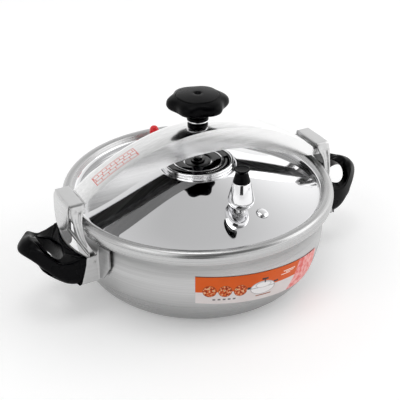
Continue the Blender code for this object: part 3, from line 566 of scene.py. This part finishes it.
def make_lid():
    rings = 28
    lip = RECESS_R + 1.4
    radii = [lip + (DOME_EDGE - lip) * i / rings for i in range(rings + 1)]
    recess = [(RECESS_R - 2, LID_TOP), (RECESS_R, LID_TOP), (RECESS_R + 0.2, dome_z(lip) - 1.0),
              (lip, dome_z(lip)), (lip + 2, dome_z(lip + 2))]
    outer = [(0, LID_TOP)] + rounded(recess, 1.2, 4, closed=False)
    outer += [(r, dome_z(r)) for r in radii[1:]]
    bead = lifted(RIM, [
        (124.4, -5.5), (125.8, -5.5), (127.2, -4.6), (128.2, -2.9), (128.7, -1.6), (129.1, -1.2),
        (129.6, 0.4), (131.0, 1.6), (132.8, 2.3), (135.0, 2.3), (137.2, 1.4), (138.8, -0.4),
        (139.7, -2.6), (140.0, -5.0), (139.8, -8.0), (139.2, -10.4), (138.6, -10.8),
        (137.9, -10.5), (138.0, -5.0), (137.6, -2.6), (136.4, -0.8), (134.6, 0.2), (132.8, 0.2),
        (131.4, -0.8), (130.4, -3.0), (129.0, -6.0), (127.0, -7.4)])
    under = [(r, dome_z(r) - SHEET) for r in reversed(radii[1:])]
    under += [(lip + 0.8, LID_TOP - SHEET), (0, LID_TOP - SHEET)]
    bm = turn(outer + rounded(bead, 0.5, 2, closed=False) + under, 192)
    add_piece("lid_shell", bm, "lid", "cover", ["lid"], 45)
    top, low = RIM - 1.6, RIM - 5.2
    ring = [(131.8, top - 2.2), (132.6, top), (136.0, top), (137.2, top - 1.4),
            (137.4, low - 3.0), (136.7, low - 3.0), (136.5, low), (131.6, low)]
    add_piece("gasket_ring", turn(rounded(ring, 0.5), 192), "rubber", "cover", ["gasket"])


def make_centre_disc():
    z = LID_TOP
    rim = lifted(z, [
        (13.6, 3.5), (13.6, 6.2), (33.6, 6.2), (34.2, 9.0), (34.8, 9.8), (35.9, 9.8), (36.5, 9.1),
        (36.6, 7.4), (35.9, 6.9), (35.9, 6.3), (36.8, 5.9), (36.9, 4.3), (37.7, 3.2), (38.0, 1.2),
        (37.6, 0.3)])
    profile = [(0, z + 3.5)] + rounded(rim, 0.4, 3, closed=False) + [(0, z + 0.3)]
    add_piece("centre_disc", turn(profile), "chrome", "cover", ["pressure_plate"])
    low = z + 6.5
    insert = lifted(low, [
        (14.6, 0), (14.6, 1.3), (15.4, 1.8), (23.6, 1.8), (24.2, 1.2), (26.0, 1.2), (26.6, 1.8),
        (32.4, 1.8), (33.2, 1.1), (33.2, 0)])
    # the insert's black is a painted reflection of the bridge's dark underside
    add_piece("disc_insert", turn(rounded(insert, 0.35)), "insert", "cover", ["plate_insert"])
    band = lifted(low, [(24.4, 1.3), (25.8, 1.3), (25.8, 2.3), (24.4, 2.3)])
    add_piece("insert_bright_ring", turn(rounded(band, 0.45)), "chrome", "cover")
    low = z + 3.8
    foot = lifted(low, [(12.0, 0), (12.0, 1.8), (6.6, 2.6), (6.6, 5.4), (4.6, 5.4), (4.6, 1.8)])
    profile = [(0, low)] + rounded(foot, 0.4, 3, closed=False) + [(0, low + 1.8)]
    add_piece("foot_socket", turn(profile, 96), "dark_steel", "cover", ["screw_foot"])
    low = z + 6.5
    ring = lifted(low, [(7.2, 0), (13.2, 0), (13.2, 1.2), (7.2, 1.2)])
    add_piece("foot_ring", turn(rounded(ring, 0.3), 96), "dark_steel", "cover",
              ["foot_retaining_ring"])


def make_valve():
    x, y = VALVE
    lid_z = dome_z(hypot(x, y))
    seat, low = lid_z + 3.0, lid_z - 13.0
    pipe = [(1.2, low), (4.0, low), (4.0, seat), (6.8, seat), (6.8, seat + 0.9),
            (3.4, seat + 1.4), (3.2, lid_z + 17.0), (2.0, lid_z + 19.0), (1.2, lid_z + 19.0)]
    add_piece("vent_stem", turn(rounded(pipe, 0.3), 64, VALVE), "turned", "cover", ["vent_pipe"])
    nut_top = lid_z - SHEET - 3.5
    bm = turn(lifted(nut_top, [(4.3, -3.6), (7.0, -3.6), (7.6, -3.0), (7.6, -0.6), (7.0, 0),
                               (4.3, 0)]), 36, VALVE)
    flat = 7.6 * cos(pi / 6)
    for vert in bm.verts:
        dx, dy = vert.co.x - x, vert.co.y - y
        r = hypot(dx, dy)
        off = (atan2(dy, dx) % (pi / 3)) - pi / 6
        reach = min(r, flat / cos(off)) / r
        vert.co.x, vert.co.y = x + dx * reach, y + dy * reach
    add_piece("vent_hex_nut", bm, "turned", "cover", ["vent_nut"])
    top = nut_top - 3.9
    cup = [(4.3, top), (5.8, top), (5.6, low - 2.6), (4.2, low - 3.6), (1.5, low - 3.6),
           (1.5, low - 2.4), (4.3, low - 1.8)]
    add_piece("vent_cup", turn(rounded(cup, 0.3), 64, VALVE), "chrome", "cover",
              ["vent_strainer"])


def make_weight():
    x, y = VALVE
    low = dome_z(hypot(x, y)) + 4.9
    top = low + 27.0
    flank = lifted(low, [
        (7.0, 0), (9.6, 1.0), (11.6, 3.0), (12.7, 5.6), (13.0, 7.6), (12.9, 9.0)])
    body = [(4.2, low + 16.0), (4.2, low + 0.4), (5.0, low)] + smooth_curve(flank, 5)
    neck = [(12.9, low + 9.0), (8.6, top - 0.3), (8.2, top), (4.0, top), (4.0, top + 4.0)]
    body += rounded(neck, 0.2, 2, closed=False)
    body = [(0, low + 17.5)] + body + [(0, top + 4.0)]
    pear = add_piece("weight_cone", turn(body, 96, VALVE), "chrome", "weight", ["weight_body"],
                     40)
    cut_side_hole(pear, Vector((x + 3.0, y - 9.4, low + 22.5)), 1.15)
    base = top + 0.3
    waist = lifted(base, [
        (8.35, 0.2), (7.7, 3.0), (6.9, 6.0), (6.3, 8.6), (6.3, 10.2), (6.9, 11.6), (7.7, 12.6),
        (7.9, 13.1), (7.4, 13.5), (6.2, 13.5), (5.0, 13.1), (0, 12.9)])
    cap = lifted(base, [(0, 4.6), (4.3, 4.2), (4.3, 0), (8.1, 0)]) + smooth_curve(waist, 5)
    add_piece("weight_grip", turn(cap, 96, VALVE), "bakelite", "weight", ["weight_cap"], 45)


def cut_side_hole(obj, point, radius):
    """A small blind hole in the weight's side, tilted a little upwards."""
    bm = bmesh.new()
    direction = Vector((point.x - VALVE[0], point.y - VALVE[1], 3.5)).normalized()
    bmesh.ops.create_cone(bm, cap_ends=True, segments=24, radius1=radius, radius2=radius, depth=5)
    tilt(bm, point, direction)
    bmesh.ops.scale(bm, vec=(MM, MM, MM), verts=bm.verts)
    cutter = mesh_object("side_hole_cutter", bm)
    cutter.hide_render = cutter.hide_viewport = True
    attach(cutter, "weight")
    cut = obj.modifiers.new("side_hole", "BOOLEAN")
    cut.operation = "DIFFERENCE"
    cut.object = cutter


def make_small_fittings():
    x, y = PLUG
    normal = dome_normal(x, y)
    lens = [(0, 2.3), (2.0, 2.22), (4.0, 1.85), (5.4, 1.25), (6.1, 0.7), (6.3, 0.3), (3.2, 0.3),
            (3.2, -3.4), (2.6, -4.0), (0, -4.0)]
    bm = tilt(turn(lens, 64), (x, y, dome_z(hypot(x, y))), normal)
    add_piece("safety_lens", bm, "chrome", "cover", ["safety_plug"], 60)

    lid_z = dome_z(hypot(*INDICATOR))
    seat = lid_z + 4.8
    bush = [(2.4, lid_z - 7.0), (3.8, lid_z - 7.0), (3.8, lid_z - 0.5), (6.8, lid_z - 0.5),
            (6.8, seat + 2.0), (5.6, seat + 3.6), (2.4, seat + 3.6)]
    add_piece("indicator_seat", turn(rounded(bush, 0.5), 64, INDICATOR), "rubber", "cover",
              ["indicator_bush"])
    top = seat + 10.0
    stem = [(2.1, lid_z - 15.5), (2.1, lid_z - 14.1), (1.4, lid_z - 14.1), (1.4, lid_z - 12.7),
            (2.1, lid_z - 12.7), (2.1, top)]
    profile = [(0, lid_z - 15.5)] + rounded(stem, 0.2, closed=False) + [(0, top)]
    add_piece("indicator_rod", turn(profile, 48, INDICATOR), "turned", "indicator",
              ["indicator_stem"])
    base = seat + 3.9
    cap = lifted(base, [
        (5.0, 0), (5.15, 2.0), (5.1, 4.5), (4.6, 7.0), (3.4, 8.8), (1.7, 9.7), (0, 9.9)])
    profile = [(2.4, top + 0.3), (2.4, base)] + smooth_curve(cap, 5) + [(0, top + 0.3)]
    add_piece("indicator_button", turn(profile, 64, INDICATOR), "red", "indicator",
              ["indicator_cap"], 50)
    clip = lifted(lid_z, [(1.7, -13.9), (4.0, -13.9), (4.0, -13.0), (1.7, -13.0)])
    add_piece("indicator_washer", turn(rounded(clip, 0.2), 48, INDICATOR), "turned", "indicator",
              ["indicator_clip"])


# ---- bridge, screw and knob ----
def arch_z(x):
    """The arch's top line along X."""
    arc = BRIDGE_TOP - ARCH_R + sqrt(ARCH_R ** 2 - x * x)
    return arc + 3.3 * (x / ARCH_END) ** 4


def flange_z(x):
    """The lower edge of the bridge's flanges along X."""
    return RIM + 24.0 + 16.8 * cos(pi * (abs(x) / 140.0) ** 1.27)


def bridge_section(x, top, low):
    """The inverted U of the bridge, as a closed ring of points."""
    w, t = BRIDGE_HALF_W, SHEET
    drop = min(3.0, (top - low) * 0.3)
    half = [(w, low), (w, top - 0.9), (w - 2.4, top), (0, top + 0.35)]
    inner = [(0, top - t), (w - t - 1.5, top - t), (w - t, top - t - drop * 0.5), (w - t, low)]
    points = half + [(-y, z) for y, z in reversed(half[:-1])]
    points += [(-y, z) for y, z in reversed(inner[1:])] + inner
    radii = [0.5, 3.0, 3.0, 0, 3.0, 3.0, 0.5, 0.5, 1.5, 1.5, 0, 1.5, 1.5, 0.5]
    ring = rounded(points, radii, 4)
    return [(x, y, z) for y, z in ring]


def make_bridge():
    arch = [ARCH_END * i / 60 for i in range(61)]
    half = [(x, arch_z(x), flange_z(x)) for x in arch]
    step = arch_z(ARCH_END) - SEAT_Z
    for t in (0.25, 0.5, 0.75, 1.0):
        x = ARCH_END + 0.9 * t
        half.append((x, SEAT_Z + step * (1 - smooth_rise(t, 0, 1)), flange_z(x)))
    half += [(x, SEAT_Z, flange_z(x)) for x in (133.5, 135.0, 136.4)]
    for x in (137.5, 138.5, 139.5, 140.5, 141.3, 142.0):
        half.append((x, SEAT_Z - 4.7 * smooth_rise(x, 135.5, 143.5) ** 1.2,
                     RIM + 7.2 + 0.02 * (x - 136.4) ** 2))
    rows = [(-x, top, low) for x, top, low in reversed(half[1:])] + half
    bm = loft([bridge_section(*row) for row in rows])
    bm.faces.ensure_lookup_table()
    around = len(bridge_section(*rows[0]))
    for index in range((len(rows) - 1) * around):
        bm.faces[index].material_index = 1 if around * 0.5 <= index % around < around - 5 else 0
    obj = add_piece("bridge_arch", bm, "bridge", "bridge", ["bridge"], 40)
    # second material on the inner faces: dull dark grey that is painted shade inside the channel
    obj.data.materials.append(LOOKS["inner"])


def make_bush():
    collar, top, low = BRIDGE_TOP + 0.3, BRIDGE_TOP + 5.4, BRIDGE_TOP - 9.0
    bush = [(6.2, low), (7.8, low), (7.8, collar), (9.2, collar), (9.2, collar + 0.8),
            (8.4, collar + 1.2), (8.4, top), (6.2, top)]
    add_piece("bush_collar", turn(rounded(bush, 0.3), 96), "turned", "bridge", ["threaded_bush"])
    # painted reflection: a black sleeve over the collar stands in for the dark reflection in the
    # chrome collar
    cover = lifted(collar, [
        (9.5, 0), (10.3, 0), (10.4, 1.4), (9.9, 2.9), (8.9, 3.2), (8.9, 4.7), (8.5, 4.7),
        (8.5, 1.6), (9.5, 1.0)])
    add_piece("collar_painted_reflection", turn(rounded(cover, 0.25), 96), "bakelite", "bridge")
    top = BRIDGE_TOP - SHEET - 0.9
    ring = lifted(top, [(8.1, -2.4), (11.6, -2.4), (11.6, 0), (8.1, 0)])
    add_piece("bush_ring", turn(rounded(ring, 0.3), 96), "turned", "bridge", ["bush_lock_ring"])


def make_screw():
    """The screw's thread is a real helix cut into the shank between its ends."""
    end, top = LID_TOP + 5.9, RIM + 92.0
    crest, root, pitch, around = 5.9, 5.1, 2.0, 48
    bm = bmesh.new()
    rings = [[bm.verts.new((0, 0, end))]]
    lower = lifted(end, [(3.2, 0), (4.2, 1.0), (4.2, 5.0), (5.0, 6.2)])
    heights = [(r, z, 0) for r, z in lower]
    z = end + 6.6
    while z < top - 1.6:
        heights.append((None, z, 1))
        z += pitch / 8
    heights += [(4.9, top - 0.9, 0), (4.2, top, 0)]
    for r, z, threaded in heights:
        ring = []
        for k in range(around):
            a = 2 * pi * k / around
            phase = (z / pitch - a / (2 * pi)) % 1.0
            radius = root + (crest - root) * (1 - abs(2 * phase - 1)) if threaded else r
            ring.append(bm.verts.new((radius * cos(a), radius * sin(a), z)))
        rings.append(ring)
    rings.append([bm.verts.new((0, 0, top))])
    bridge_rings(bm, rings, False)
    add_piece("screw_shank", bm, "turned", "knob", ["clamp_screw"], 60)


def make_knob():
    z = RIM
    low, bore_top = z + 71.9, z + 92.3
    outside = lifted(z, [
        (10.9, 73.0), (10.6, 75.6), (10.0, 76.2), (10.0, 76.8), (10.6, 77.4), (10.6, 80.0),
        (11.8, 83.0), (16.5, 84.6), (24.0, 85.0), (29.0, 86.2), (31.2, 88.8), (31.4, 91.4),
        (30.4, 94.2), (27.4, 96.6), (23.4, 98.1)])
    step_r, groove = 22.0, 0.35
    crown = [(step_r + 0.5, z + 98.35), (step_r, z + 98.2 - groove), (step_r - 0.6, z + 98.6)]
    rings = 9
    for i in range(rings):
        r = step_r - 1.4 - i * 1.55
        for shift, lift in ((0.0, 0.0), (-0.5, 0.1), (-1.0, 0.02)):
            height = 100.5 - 1.9 * ((r + shift) / step_r) ** 2
            crown.append((r + shift, z + height + lift))
    crown += lifted(z, [(5.6, 100.45), (4.4, 100.4), (3.4, 99.8), (2.7, 98.9), (0, 98.6)])
    profile = lifted(low, [(6.2, 2.2), (9.0, 2.2), (9.0, 0), (10.2, 0)])
    profile += smooth_curve(outside, 6) + crown + [(0, bore_top), (6.2, bore_top)]
    bm = turn(profile, 192)
    for vert in bm.verts:
        r = hypot(vert.co.x, vert.co.y)
        reach = max(0.0, (r - 13.0) / 18.4)
        turned = atan2(vert.co.y, vert.co.x) - LOBE_TURN
        wave = (1 - cos(KNOB_LOBES * turned)) / 2
        shrink = 1 - 0.13 * min(reach, 1.0) ** 2 * wave ** 1.2
        vert.co.x *= shrink
        vert.co.y *= shrink
    add_piece("knob_lobed", bm, "bakelite", "knob", ["knob"], 50)
    band = lifted(low, [(9.4, -0.2), (11.2, -0.2), (11.5, 0.5), (11.2, 1.2), (9.4, 1.2)])
    add_piece("knob_bright_ring", turn(rounded(band, 0.3), 96), "chrome", "knob")


# ---- brackets, handles and hooks, made for +X and turned round for -X ----
def web_x(y, z):
    """The inner face of a bracket's bowed and leaning web."""
    bow = WEB_BULGE * (1 - (y / BRACKET_HALF_W) ** 2)
    return BRACKET_X + bow + WEB_LEAN * (BRACKET_TOP - z) / (BRACKET_TOP - BRACKET_LOW)


def bracket_lines():
    """The inner face's top and bottom lines, from one flange round the web to the other."""
    wall = POT_R + 0.3 + BRACKET_SHEET
    corner = sqrt(wall ** 2 - (BRACKET_HALF_W + 1.5) ** 2)
    half = []
    for y, low in ((-52.5, 37.0), (-50.5, 40.0), (-48.0, 45.0), (-45.5, 49.5), (-43.5, 52.6)):
        x = sqrt(wall ** 2 - y * y)
        half.append(((x, y, RIM - 16.5), (x, y, RIM - low)))
    half.append(((corner, -38.5, RIM - 16.6), (corner, -38.5, RIM - 53.5)))
    half.append(((corner + 2.0, -37.0, BRACKET_TOP + 1.0), (corner + 2.0, -37.0, BRACKET_LOW)))
    half.append(((BRACKET_X, -37.0, BRACKET_TOP), (BRACKET_X + WEB_LEAN, -37.0, BRACKET_LOW)))
    for step in range(1, 13):
        y = -BRACKET_HALF_W * (1 - step / 12)
        half.append(tuple((web_x(y, z), y, z) for z in (BRACKET_TOP, BRACKET_LOW)))
    path = half + [tuple((x, -y, z) for x, y, z in pair) for pair in reversed(half[:-1])]
    radii = [0.5] * len(path)
    for index in (6, 7):
        radii[index] = radii[-1 - index] = 2.0
    tops = rounded([top for top, _ in path], radii, 4, closed=False)
    lows = rounded([low for _, low in path], radii, 4, closed=False)
    return tops, lows


def offset_along(points, distance):
    """The line moved sideways in plan by distance."""
    moved = []
    for i, (x, y, z) in enumerate(points):
        before, after = points[max(i - 1, 0)], points[min(i + 1, len(points) - 1)]
        along = Vector((after[0] - before[0], after[1] - before[1])).normalized()
        moved.append((x + along.y * distance, y - along.x * distance, z))
    return moved


def make_bracket(side, sign):
    tops, lows = bracket_lines()
    outer_lows, outer_tops = (offset_along(line, BRACKET_SHEET) for line in (lows, tops))
    bm = loft(list(zip(tops, lows, outer_lows, outer_tops)))
    turn_to_side(bm, sign)
    obj = add_piece("bracket_band_" + side, bm, "bracket", "pot", ["bracket_" + side], 30)
    add_bevel(obj, 0.35, 2, 60)


def handle_top_z(x):
    return BRACKET_TOP - 3.0 * smooth_rise(x, 141, 157) + 16.5 * smooth_rise(x, 161, 184)


def handle_low_z(x):
    along = max(0.0, (x - BRACKET_X) / (HANDLE_TIP_X - BRACKET_X))
    return RIM - 58.0 + 5.0 * along + 25.0 * smooth_rise(x, 152, HANDLE_TIP_X) ** 1.25


def lean_out(x, y, z, share):
    """A point moved out with its share of the web's lean."""
    return (x + WEB_LEAN * share * (BRACKET_TOP - z) / (BRACKET_TOP - BRACKET_LOW), y, z)


def hole_point(x, y, grow):
    """The point of the finger hole's outline that faces a place."""
    middle, semi_x, semi_y = HOLE
    angle = atan2(y / semi_y, (x - middle) / semi_x)
    c, s = cos(angle), sin(angle)
    return (middle + (semi_x + grow) * copysign(abs(c) ** 0.87, c),
            (semi_y + grow) * copysign(abs(s) ** 0.87, s))


def handle_outline():
    """Plan outline as (x, y, on_web, lip): the web's side, then round the outside."""
    clear = BRACKET_SHEET + 0.3
    inner = []
    for i in range(41):
        y = HANDLE_HALF_W * (1 - i / 20)
        edge = min(max(y, -BRACKET_HALF_W), BRACKET_HALF_W)
        inner.append((web_x(edge, BRACKET_TOP) + clear, y, True, 1.0))
    reach = HANDLE_TIP_X - BRACKET_X - clear
    first = [asin(t / reach) for t in (0.6, 2.2, 3.6, 4.3, 4.6, 4.9, 5.3, 6.2)]
    middle = [0.13 + (pi - 0.26) * i / 84 for i in range(85)]
    angles = first + middle + [pi - a for a in reversed(first)]
    outer = []
    for a in angles:
        x, c = sin(a), cos(a)
        y = HANDLE_HALF_W * copysign(abs(c) ** (2 / 1.75), -c)
        lip = 1 - smooth_rise(reach * x, 4.3, 4.9)
        outer.append((BRACKET_X + clear + reach * x, y, False, lip))
    return inner + outer


def handle_ring(x, y, on_web, lip):
    """A closed loop of points down the outside and back up through the finger hole, whose wall
    flares downwards on its outer side."""
    inward = Vector((HOLE[0] - x, -y)).normalized()
    top, low = handle_top_z(x), handle_low_z(x)
    rise = 0.7 * lip
    raised = top + rise
    if on_web:
        side = [(4.9, top), (4.5, raised), (0.4, raised), (0.0, raised - 0.5), (0.0, low + 0.8),
                (0.8, low)]
        share = 1.0
        radii = [0.3, 0.4, 0.4, 0.3, 0.8, 0.8]
    else:
        inset = 1.2 + 11.0 * smooth_rise(x, 160, 195)
        shoulder = 1.5 + 2.0 * smooth_rise(x, 165, 190)
        proud = -0.5 * lip
        side = [(inset + 2.4, handle_top_z(x - inset - 2.4) + rise),
                (inset + 1.2, handle_top_z(x - inset - 1.2) + rise),
                (inset + proud, handle_top_z(x - inset) + rise),
                (inset * 0.4 + proud, top - shoulder + rise), (proud, low + 4.0),
                (3.0 + proud, low)]
        share = 0.0
        radii = [0.4, 0.4, 1.4, 2.5, 4.0, 3.0]
    ring = [lean_out(x + inward.x * d, y + inward.y * d, z, share) for d, z in side]
    hole = hole_point(x, y, 0)
    under, ceiling = hole_point(x, y, 8.0), handle_top_z(hole[0])
    under = (max(under[0], hole[0]), under[1])
    bottom = max(low, ceiling - 18.0)
    ring += [lean_out(*under, bottom, 0.8), lean_out(*hole, ceiling, 0.8)]
    return rounded(ring, radii + [3.0, 3.0], 4)


def make_handle(side, sign):
    bm = loft([handle_ring(*point) for point in handle_outline()], closed=True)
    turn_to_side(bm, sign)
    obj = add_piece("handle_grip_" + side, bm, "bakelite", "pot", ["handle_" + side], 45)
    obj.modifiers.new("flat_faces", "WEIGHTED_NORMAL").keep_sharp = True


def make_handle_screws(side, sign):
    shank = [(1.4, 14.0), (2.0, 12.5), (2.0, -0.3), (3.6, -0.3), (3.6, -1.4), (2.6, -2.4),
             (1.3, -2.5), (1.2, -1.2)]
    for end_name, end in (("front", -1), ("back", 1)):
        y, z = end * 24.0, RIM - 43.0
        direction = Vector((1, 2 * WEB_BULGE * y / BRACKET_HALF_W ** 2,
                            WEB_LEAN / (BRACKET_TOP - BRACKET_LOW)))
        point = Vector((web_x(y, z), y, z))
        if sign < 0:
            point.x, point.y = -point.x, -point.y
            direction.x, direction.y = -direction.x, -direction.y
        profile = [(0, 14.0)] + rounded(shank, 0.3, closed=False) + [(0, -1.0)]
        bm = tilt(turn(profile, 40), point, direction)
        add_piece("pan_screw_" + side + "_" + end_name, bm, "turned", "pot",
                  ["handle_screw_" + side + "_" + end_name])


def make_pin(side, sign):
    half = BRACKET_HALF_W + BRACKET_SHEET
    profile = [(0, half), (1.4, half), (1.8, half - 0.4), (1.8, 0.4 - half), (1.4, -half),
               (0, -half)]
    bm = tilt(turn(profile, 40), (sign * PIN_X, 0, PIN_Z), (0, 1, 0))
    add_piece("hinge_pin_" + side, bm, "turned", "pot", ["hook_pin_" + side])


def leg_y(z):
    """Half the distance between a hook's legs."""
    return min(20.0 + 0.36 * (HOOK_TOP - z), EYE_Y)


def join_rows(bm, row, following):
    """Faces between two rows of as many points. Returns the second."""
    for i in range(len(row) - 1):
        bm.faces.new((row[i], row[i + 1], following[i + 1], following[i]))
    return following


def add_leg(bm, end, edge):
    """A leg with a pressed groove down its middle, from the tab's end to the rounded eye."""
    line = smooth_curve([
        (20.5, HOOK_IN, 147.2), (17.5, 134.0, 147.6), (14.0, 134.8, 147.8), (9.5, 137.2, 147.4),
        (4.0, 138.6, 146.6), (-4.0, 138.8, 145.4), (-11.0, 138.4, 143.6),
        (-17.0, 136.4, 140.6), (-22.0, 133.6, 137.8), (-27.0, 131.2, 136.0)], 3)
    row = edge
    for z, x_in, x_out in line:
        depth = 1.3 * smooth_rise(-z, -19, -12) * (1 - smooth_rise(-z, 12, 22))
        y = leg_y(RIM + z)
        following = []
        for i, share in enumerate(ROW):
            sunk = depth if i in (2, 3) else 0.0
            x = x_in + (x_out - x_in) * share
            following.append(bm.verts.new((x, end * (y - sunk), RIM + z)))
        row = join_rows(bm, row, following)
    eye = []
    for k in range(17):
        a = pi + pi * k / 16
        eye.append(bm.verts.new((PIN_X + EYE_R * cos(a), end * EYE_Y, PIN_Z + EYE_R * sin(a))))
    bm.faces.new([row[0]] + eye + list(reversed(row[1:])))


def add_lobe(bm, row, ys):
    """The outer lobe: a tongue that hangs from the tab, a little bowed, with a rounded end."""
    line = smooth_curve([(149.0, 20.8, 17.6), (150.2, 18.6, 18.0), (150.8, 14.0, 18.2),
                         (150.9, 8.0, 18.2), (151.2, 3.0, 17.8), (151.7, -2.0, 16.2),
                         (152.3, -6.0, 13.6), (152.8, -9.0, 10.4), (153.2, -11.2, 6.2)], 3)
    for x, z, half in line:
        following = [bm.verts.new((x - 0.8 * share ** 2, share * half, RIM + z))
                     for share in (y / TAB_HALF_W for y in ys)]
        row = join_rows(bm, row, following)


def make_hook(side, sign):
    bm = bmesh.new()
    ys = [-TAB_HALF_W, -13.2, -8.8, -4.4, 0.0, 4.4, 8.8, 13.2, TAB_HALF_W]
    all_y = [-18.5] + ys + [18.5]
    grid = [[bm.verts.new((HOOK_IN + 13.6 * share, y, HOOK_TOP)) for share in ROW]
            for y in all_y]
    for row, following in zip(grid, grid[1:]):
        join_rows(bm, row, following)
    lip = [[bm.verts.new((HOOK_IN, y, z)) for y in ys] for z in (HOOK_TOP - 2.5, HOOK_TOP - 4.6)]
    inner = [row[0] for row in grid[1:-1]]
    join_rows(bm, join_rows(bm, inner, lip[0]), lip[1])
    add_lobe(bm, [row[-1] for row in grid[1:-1]], ys)
    add_leg(bm, -1, grid[0])
    add_leg(bm, 1, grid[-1])
    bmesh.ops.recalc_face_normals(bm, faces=bm.faces)
    top_face = max(bm.faces, key=lambda face: face.calc_center_median().z)
    if top_face.normal.z < 0:
        bmesh.ops.reverse_faces(bm, faces=bm.faces)
    turn_to_side(bm, sign)
    bmesh.ops.scale(bm, vec=(MM, MM, MM), verts=bm.verts)
    obj = mesh_object("hook_stirrup_" + side, bm)
    obj.data.materials.append(LOOKS["sheet"])
    obj.data.shade_smooth()
    add_bevel(obj, 1.7, 4, 34)
    sheet = obj.modifiers.new("sheet", "SOLIDIFY")
    sheet.thickness, sheet.offset, sheet.use_even_offset = SHEET * MM, -1, True
    add_bevel(obj, 0.35, 2, 60)
    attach(obj, "hook_" + side)
    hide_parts("hook_" + side)


# ---- label ----
def wall_radius(z):
    """The pot's outside at a height."""
    if z >= CURVE_H:
        return POT_R
    return BASE_R + (POT_R - BASE_R) * sqrt(1 - (1 - z / CURVE_H) ** 2)


def make_label():
    start, end, thick = -119.0, -54.0, 0.25
    across, down = 96, 20
    bm = bmesh.new()
    uv_layer = bm.loops.layers.uv.new("print")
    spots = {}
    layers = []
    for lift in (0.3, 0.3 + thick):
        grid = []
        for i in range(across + 1):
            a = radians(start + (end - start) * i / across)
            share = i / across
            top = RIM - 28.0 - 10.0 * share - 5.0 * share ** 3
            height = 31.5 + 5.0 * share
            column = []
            for j in range(down + 1):
                z = top - height * j / down
                r = wall_radius(z) + lift
                vert = bm.verts.new((r * cos(a), r * sin(a), z))
                spots[vert] = (radians((end - start) * i / across) * POT_R / 100,
                               height * j / down / 100)
                column.append(vert)
            grid.append(column)
        layers.append(grid)
    under, over = layers
    for grid in layers:
        for i in range(across):
            for j in range(down):
                bm.faces.new((grid[i][j], grid[i + 1][j], grid[i + 1][j + 1], grid[i][j + 1]))
    edge = [(i, 0) for i in range(across)] + [(across, j) for j in range(down)]
    edge += [(i, down) for i in range(across, 0, -1)] + [(0, j) for j in range(down, 0, -1)]
    for (i, j), (k, m) in zip(edge, edge[1:] + edge[:1]):
        bm.faces.new((under[i][j], under[k][m], over[k][m], over[i][j]))
    for face in bm.faces:
        for loop in face.loops:
            loop[uv_layer].uv = spots[loop.vert]
    add_piece("label_print", bm, "label", "pot", ["label"])


# ---- studio ----
def aim(obj, place, target):
    obj.location = place
    obj.rotation_euler = (Vector(target) - Vector(place)).to_track_quat("-Z", "Y").to_euler()


def add_area(name, place, target, size, energy):
    """A lamp that lights but isn't seen by the camera."""
    lamp = bpy.data.lights.new(name, "AREA")
    lamp.shape = "RECTANGLE"
    lamp.size, lamp.size_y = size
    lamp.energy = energy
    obj = new_object(name, lamp)
    aim(obj, place, target)
    obj.visible_camera = False


def add_card(name, place, target, size, level):
    """A plain reflector card that the camera can't see."""
    bm = bmesh.new()
    bmesh.ops.create_grid(bm, x_segments=1, y_segments=1, size=0.5)
    obj = mesh_object(name, bm)
    obj.data.materials.append(start_material(name + "_paint", (level,) * 3, 0.0, 0.9)[0])
    aim(obj, place, target)
    obj.scale = (*size, 1)
    obj.visible_camera = False


def make_world():
    world = bpy.data.worlds.new("studio")
    bpy.context.scene.world = world
    world.use_nodes = True
    tree = world.node_tree
    back = tree.nodes["Background"]
    split = add_node(tree, "SeparateXYZ", {0: add_node(tree, "TexCoord").outputs["Generated"]})
    height = maths(tree, "MULTIPLY_ADD", split.outputs[2], 0.5, 0.5)
    ramp = add_node(tree, "ValToRGB", {0: height})
    for stop, position, level in zip(ramp.color_ramp.elements, (0.62, 0.95), (1.0, 0.52)):
        stop.position, stop.color = position, (level, level, level, 1)
    side = maths(tree, "MULTIPLY_ADD", split.outputs[0], 0.20, 1.06)
    place = add_node(tree, "TexCoord").outputs["Generated"]
    facing = add_node(tree, "VectorMath", {0: place, 1: FLAG_AT}, operation="DOT_PRODUCT")
    flag = spread(tree, facing.outputs["Value"], 1.0, 0.30, 0.70, 0.93)
    tree.links.new(ramp.outputs[0], back.inputs["Color"])
    tree.links.new(times(tree, side, flag), back.inputs["Strength"])


def add_sun(name, towards, strength, spread_angle):
    lamp = bpy.data.lights.new(name, "SUN")
    lamp.energy = strength
    lamp.angle = radians(spread_angle)
    obj = new_object(name, lamp)
    obj.rotation_euler = Vector(towards).to_track_quat("-Z", "Y").to_euler()


def make_studio():
    bm = bmesh.new()
    bmesh.ops.create_grid(bm, x_segments=1, y_segments=1, size=6.0)
    floor = mesh_object("studio_floor", bm)
    paint, _, shader = start_material("floor_paint", (0.93,) * 3, 0.0, 0.8)
    shader.inputs["Emission Color"].default_value = (1.0, 1.0, 1.0, 1)
    shader.inputs["Emission Strength"].default_value = FLOOR_GLOW
    floor.data.materials.append(paint)
    centre = (0, 0, 0.08)
    add_area("key", (-1.3, -0.5, 1.3), centre, (1.3, 1.0), 4)
    add_area("fill", (1.5, -0.6, 1.2), centre, (1.2, 1.2), 5)
    add_sun("overhead", (0.05, 0.03, -1.0), SUN_STRENGTH, SUN_SPREAD)
    add_card("dark_card", (-0.95, -1.85, 0.85), (0, 0, 0.3), (1.3, 1.6), 0.02)
    make_world()


def make_camera():
    camera = bpy.data.cameras.new("photo_camera")
    camera.lens, camera.sensor_width = PHOTO_LENS, SENSOR_W
    obj = new_object("photo_camera", camera)
    aim(obj, CAMERA_AT, CAMERA_AIM)
    bpy.context.scene.camera = obj


def make_cooker():
    make_looks()
    make_pot()
    make_lid()
    make_centre_disc()
    make_valve()
    make_weight()
    make_small_fittings()
    make_bridge()
    make_bush()
    make_screw()
    make_knob()
    for side, sign in SIDES:
        make_bracket(side, sign)
        make_handle(side, sign)
        make_handle_screws(side, sign)
        make_pin(side, sign)
        make_hook(side, sign)
    make_label()


make_cooker()
make_studio()
make_camera()
settings = bpy.context.scene.view_settings
settings.view_transform = "Standard"
settings.use_curve_mapping = True
settings.curve_mapping.black_level = (BLACK_LEVEL,) * 3
settings.curve_mapping.update()
